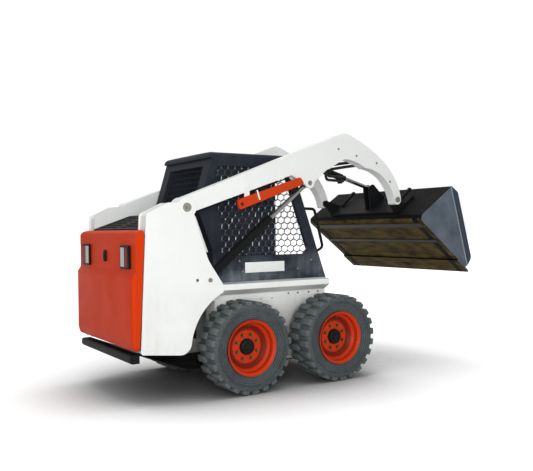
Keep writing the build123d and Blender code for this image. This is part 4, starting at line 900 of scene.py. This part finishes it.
# %% Pins and bolts: fitted
for hand, side in SIDES.items():
    out = Vector((0, side, 0))
    pins = bmesh.new()
    for place, radius in ((ARM_PIVOT, PIVOT_RADIUS), (LIFT_BASE, BASE_RADIUS)):
        pin_head(pins, place, UPRIGHT_FACE, side, radius, **UPRIGHT_HEAD)
    for place in FENDER_BOLTS:
        bolt(pins, on_side(place, FENDER_FACE, side), out, FENDER_BOLT)
    for place in CAB_BOLTS:
        bolt(pins, on_side(place, CAB_FACE, side), out, CAB_BOLT)
    add_piece(f"chassis_bolts_{hand}", pins, zinc, "chassis")
    heads = bmesh.new()
    pin_head(heads, LIFT_EYE, ARM_FACE, side, EYE_RADIUS, **EYE_HEAD)
    for place in ARM_BOLTS:
        bolt(heads, on_side(place, ARM_FACE, side), out, ARM_BOLT)
    add_piece(f"arm_bolts_{hand}", heads, zinc, "lift_arms")
    caps = bmesh.new()
    pin_head(caps, BUCKET_HINGE, HINGE_END, side, HINGE_RADIUS, **HINGE_HEAD)
    add_piece(f"hinge_caps_{hand}", caps, zinc, "bucket")

# %% [markdown]
# ## Side screens: the cells
# The side windows are closed with expanded metal: sheet that is slit in staggered rows and pulled open,
# so that every strand leans out of the plane and catches the light on one edge. We tile the window
# with six-sided cells, inset each cell by half a strand, drop the middles, and push the inner corners
# out above and in below.

# %% Side screens: the cells
CELL_WIDE, CELL_ROW = 66 * MM, 50 * MM
STRAND, LEAN = 9 * MM, 3 * MM
JOIN_REACH = 0.5 * MM
SCREEN_FACE = 423 * MM
WINDOW = [(-0.833, 1.106), (-0.888, 1.858), (-0.203, 1.858), (0.062, 1.106)]
CELL = [(0, 2 / 3), (0.5, 1 / 3), (0.5, -1 / 3), (0, -2 / 3), (-0.5, -1 / 3), (-0.5, 1 / 3)]


def cell_sheet(side):
    low_x, low_z = (min(values) for values in zip(*WINDOW))
    high_x, high_z = (max(values) for values in zip(*WINDOW))
    shape = bmesh.new()
    cells = []
    for row in range(ceil((high_z - low_z) / CELL_ROW) + 1):
        for column in range(ceil((high_x - low_x) / CELL_WIDE) + 1):
            x = low_x + (column + row % 2 / 2) * CELL_WIDE
            z = low_z + row * CELL_ROW
            corners = [(x + right * CELL_WIDE, side * SCREEN_FACE, z + up * CELL_ROW) for right, up in CELL]
            cells.append(shape.faces.new([shape.verts.new(corner) for corner in corners]))
    bmesh.ops.remove_doubles(shape, verts=shape.verts[:], dist=JOIN_REACH)
    bmesh.ops.inset_individual(shape, faces=cells, thickness=STRAND / 2, use_even_offset=True)
    for cell in cells:
        middle = cell.calc_center_median().z
        for vert in cell.verts:
            vert.co.y += side * LEAN * (1 if vert.co.z > middle else -1)
    bmesh.ops.delete(shape, geom=cells, context="FACES")
    return shape


print("screen cells are", CELL_WIDE, "by", CELL_ROW, "m")

# %% [markdown]
# ## Side screens: cut to fit
# The faces that are narrower than a strand are the bonds, which the painted glints need to know. Then four
# cuts along the window's edges trim the sheet, and a Solidify modifier gives it the thickness of real sheet.

# %% Side screens: cut to fit
SHEET = 2.5 * MM


def expanded_metal(hand):
    shape = cell_sheet(SIDES[hand])
    bond = shape.faces.layers.float.new("bond")
    for strand in shape.faces:
        across = [vert.co.x for vert in strand.verts]
        strand[bond] = 1.0 if max(across) - min(across) < STRAND else 0.0
    for (x, z), (next_x, next_z) in zip(WINDOW, WINDOW[1:] + WINDOW[:1]):
        edge_out = Vector((z - next_z, 0, next_x - x))
        bmesh.ops.bisect_plane(
            shape, geom=shape.verts[:] + shape.edges[:] + shape.faces[:], plane_co=(x, 0, z),
            plane_no=edge_out, clear_outer=True,
        )
    made = add_piece(f"expanded_screen_{hand}", shape, glinting_screen_paint, "chassis", sharp=20)
    sheet = made.modifiers.new("sheet_thickness", "SOLIDIFY")
    sheet.thickness = SHEET
    sheet.offset = 0.0
    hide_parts(f"side_screen_{hand}")


for hand in SIDES:
    expanded_metal(hand)

# %% [markdown]
# ## Seat: a padded form
# The operator's seat is two foam pads under a vinyl cover, a flat cushion and a back that leans a little.
# Foam pushes the cover out in the middle, the corners stay round, and two sewn lines pull it in. A
# box that is divided finely enough can be moved point by point: first every point goes to the rounded
# form, then the side that the operator touches is crowned and drawn in along its seams. The side that
# rests on the frame stays flat.

# %% Seat: a padded form
PAD_EASE, PAD_CUTS = 34 * MM, 15
CROWN, PULL_IN = 14 * MM, 0.02
SEAMS, SEAM_DEEP, SEAM_WIDE, SEAM_FADE = (-0.34, 0.34), 11 * MM, 16 * MM, 8
TOUCHED = 0.99
ALONG_X, ALONG_Y, ALONG_Z = 0, 1, 2


def pad(shape, centre, size, thick, seamed, slant=0.0):
    half = Vector(size) / 2
    before = set(shape.verts)
    made = bmesh.ops.create_cube(shape, size=2.0)["verts"]
    edges = list({edge for vert in made for edge in vert.link_edges})
    bmesh.ops.subdivide_edges(shape, edges=edges, cuts=PAD_CUTS, use_grid_fill=True)
    place = Matrix.Translation(centre) @ Matrix.Rotation(slant, 4, "Y")
    for vert in [vert for vert in shape.verts if vert not in before]:
        share = vert.co.copy()
        corner = Vector(c * h for c, h in zip(share, half))
        core = Vector(max(PAD_EASE - h, min(h - PAD_EASE, c)) for c, h in zip(corner, half))
        spot = core + (corner - core).normalized() * PAD_EASE
        bulge = 1 - share[seamed] ** 2
        spot[ALONG_Y] *= 1 - PULL_IN * bulge
        if share[thick] > TOUCHED:
            nearest = min(abs(share[seamed] - seam) for seam in SEAMS) * half[seamed]
            fold = exp(-((nearest / SEAM_WIDE) ** 2)) * (1 - share[ALONG_Y] ** SEAM_FADE)
            spot[thick] += CROWN * bulge * (1 - share[ALONG_Y] ** 2) - SEAM_DEEP * fold
        vert.co = place @ spot


print("points on each pad:", 6 * (PAD_CUTS + 1) ** 2 + 2)

# %% [markdown]
# ## Seat: two pads
# The pads stand in the box that the frame keeps for the seat, and are as wide as it is. One level of
# subdivision smooths them.

# %% Seat: two pads
CUSHION_DEEP, CUSHION_TALL, CUSHION_LIFT = 400 * MM, 140 * MM, 2 * MM
BACK_THICK, BACK_TALL, BACK_DROP, BACK_AT = 92 * MM, 500 * MM, 8 * MM, 98 * MM
BACK_LEAN = radians(-10.5)
seat_low, seat_high = (Vector(corner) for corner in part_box("seat"))
wide = seat_high.y - seat_low.y
pads = bmesh.new()
pad(
    pads, (seat_high.x - CUSHION_DEEP / 2, 0, seat_low.z + CUSHION_TALL / 2 + CUSHION_LIFT),
    (CUSHION_DEEP, wide, CUSHION_TALL), thick=ALONG_Z, seamed=ALONG_X,
)
pad(
    pads, (seat_low.x + BACK_AT, 0, seat_high.z - BACK_TALL / 2 - BACK_DROP),
    (BACK_THICK, wide, BACK_TALL), thick=ALONG_X, seamed=ALONG_Z, slant=BACK_LEAN,
)
cushions = add_piece("seat_pads", pads, seat_vinyl, "chassis", sharp=80)
swell = cushions.modifiers.new("stuffing", "SUBSURF")
swell.levels = 1
swell.render_levels = 1
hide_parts("seat")

# %% [markdown]
# ## Plate and clip
# A plain white plate is screwed to the cab's lower right panel, and a white strap holds the stowed
# support bar against the arm. Both are cut from 2 to 3 mm sheet.

# %% Plate and clip
PLATE_X, PLATE_Z, PLATE_THICK, PLATE_EASE = (-0.613, -0.211), (0.962, 1.050), 2 * MM, 0.6 * MM
plate = bmesh.new()
slab(
    plate, (sum(PLATE_X) / 2, -CAB_FACE - PLATE_THICK / 2, sum(PLATE_Z) / 2),
    (PLATE_X[1] - PLATE_X[0], PLATE_THICK, PLATE_Z[1] - PLATE_Z[0]), PLATE_EASE,
)
add_piece("blank_plate", plate, white_enamel, "chassis")

CLIP_AT, CLIP_LEAN = (-0.594, 1.613), radians(-18)
CLIP_WIDE, CLIP_THICK, CLIP_TALL, CLIP_EASE = 14 * MM, 3 * MM, 84 * MM, 0.8 * MM
clip = bmesh.new()
slab(
    clip, (CLIP_AT[0], -BAR_FACE - CLIP_THICK / 2, CLIP_AT[1]), (CLIP_WIDE, CLIP_THICK, CLIP_TALL),
    CLIP_EASE, slant=CLIP_LEAN,
)
add_piece("support_clip", clip, white_enamel, "lift_arms")

# %% [markdown]
# ## White background
# A cut-out photograph has no room around it, only white. So the floor and the sky are lifted to white for
# the rays that show them: those of the camera, and those that mirror off a surface or pass through it.
# The scattered light that falls on the machine stays as it is.

# %% White background
def background_rays(tree):
    """One for rays that should meet a white background, and nought for the rest."""
    seen = node(tree, "LightPath", out="Is Camera Ray")
    for kind in ("Is Glossy Ray", "Is Transmission Ray"):
        ray = node(tree, "LightPath", out=kind)
        seen = node(tree, "Math", {0: seen, 1: ray}, operation="ADD", use_clamp=True)
    return seen


WHITE = colour("#FFFFFF")
print("background white:", WHITE[0])

# %% [markdown]
# ## Floor
# The photograph keeps a soft shadow under the machine. Ambient occlusion darkens the floor where the machine
# stands close above it, and takes away the lift to white there. Further out the lift grows with
# distance, so that the floor meets the background without a line.

# %% Floor
FLOOR_HALF = 60.0
SHADOW_REACH = 2.2
LIFT_NEAR, LIFT_FAR = 2.0, 7.0
floor_shape = bmesh.new()
bmesh.ops.create_grid(floor_shape, x_segments=1, y_segments=1, size=FLOOR_HALF)
floor_mesh = bpy.data.meshes.new("studio_floor")
floor_shape.to_mesh(floor_mesh)
floor_shape.free()
floor = bpy.data.objects.new("studio_floor", floor_mesh)
scene.collection.objects.link(floor)
# Matt white that shows nothing but the shadow.
floor_paint, tree, shader, place = new_finish(
    "matt_white_floor", Roughness=0.9, Specular_IOR_Level=0.1, Emission_Color=WHITE,
)
far = node(tree, "VectorMath", {0: place}, out="Value", operation="LENGTH")
open_air = node(tree, "AmbientOcclusion", {"Distance": SHADOW_REACH}, out="AO", samples=16)
shaded = node(tree, "MapRange", {"Value": open_air, "From Min": 0.1, "From Max": 0.6})
lift = background_rays(tree)
for pattern, limits in (
    (open_air, {"From Min": 0.55, "From Max": 0.98}),
    (far, {"From Min": LIFT_NEAR, "From Max": LIFT_FAR, "To Min": 0.75}),
):
    part = node(tree, "MapRange", {"Value": pattern, **limits})
    lift = node(tree, "Math", {0: lift, 1: part}, operation="MULTIPLY")
tone = {SHARE: shaded, UNDER: colour("#707070"), OVER: colour("#CCCCCC")}
fill(tree, shader, {"Base Color": node(tree, "Mix", tone, **COLOUR_MIX), "Emission Strength": lift})
floor_mesh.materials.append(floor_paint)
print("floor reaches", FLOOR_HALF, "m each way")

# %% [markdown]
# ## Light
# The sky gives an even fill, one broad lamp overhead shapes the tops, and a second one beside the camera
# keeps the near side as bright as the photograph shows it. Broad lamps make soft shadows, as a cloudy
# day does.

# %% Light
SKY_FILL = 0.5
world = bpy.data.worlds.new("white_studio")
scene.world = world
world.use_nodes = True
tree = world.node_tree
strength = node(tree, "MapRange", {"Value": background_rays(tree), "To Min": SKY_FILL})
fill(tree, tree.nodes["Background"], {"Color": WHITE, "Strength": strength})


def studio_lamp(name, place, aim, size, power):
    lamp = bpy.data.lights.new(name, "AREA")
    lamp.shape = "DISK"
    lamp.size = size
    lamp.energy = power
    holder = bpy.data.objects.new(name, lamp)
    holder.location = place
    holder.rotation_euler = (Vector(aim) - Vector(place)).to_track_quat("-Z", "Y").to_euler()
    scene.collection.objects.link(holder)
    print(name, "gives", power, "W")


studio_lamp("overhead_lamp", place=(0.2, 0.4, 6.5), aim=(0.1, 0.0, 0.8), size=4.0, power=130.0)
studio_lamp("near_side_lamp", place=(-4.2, -6.8, 1.9), aim=(0.0, 0.0, 0.9), size=3.4, power=320.0)
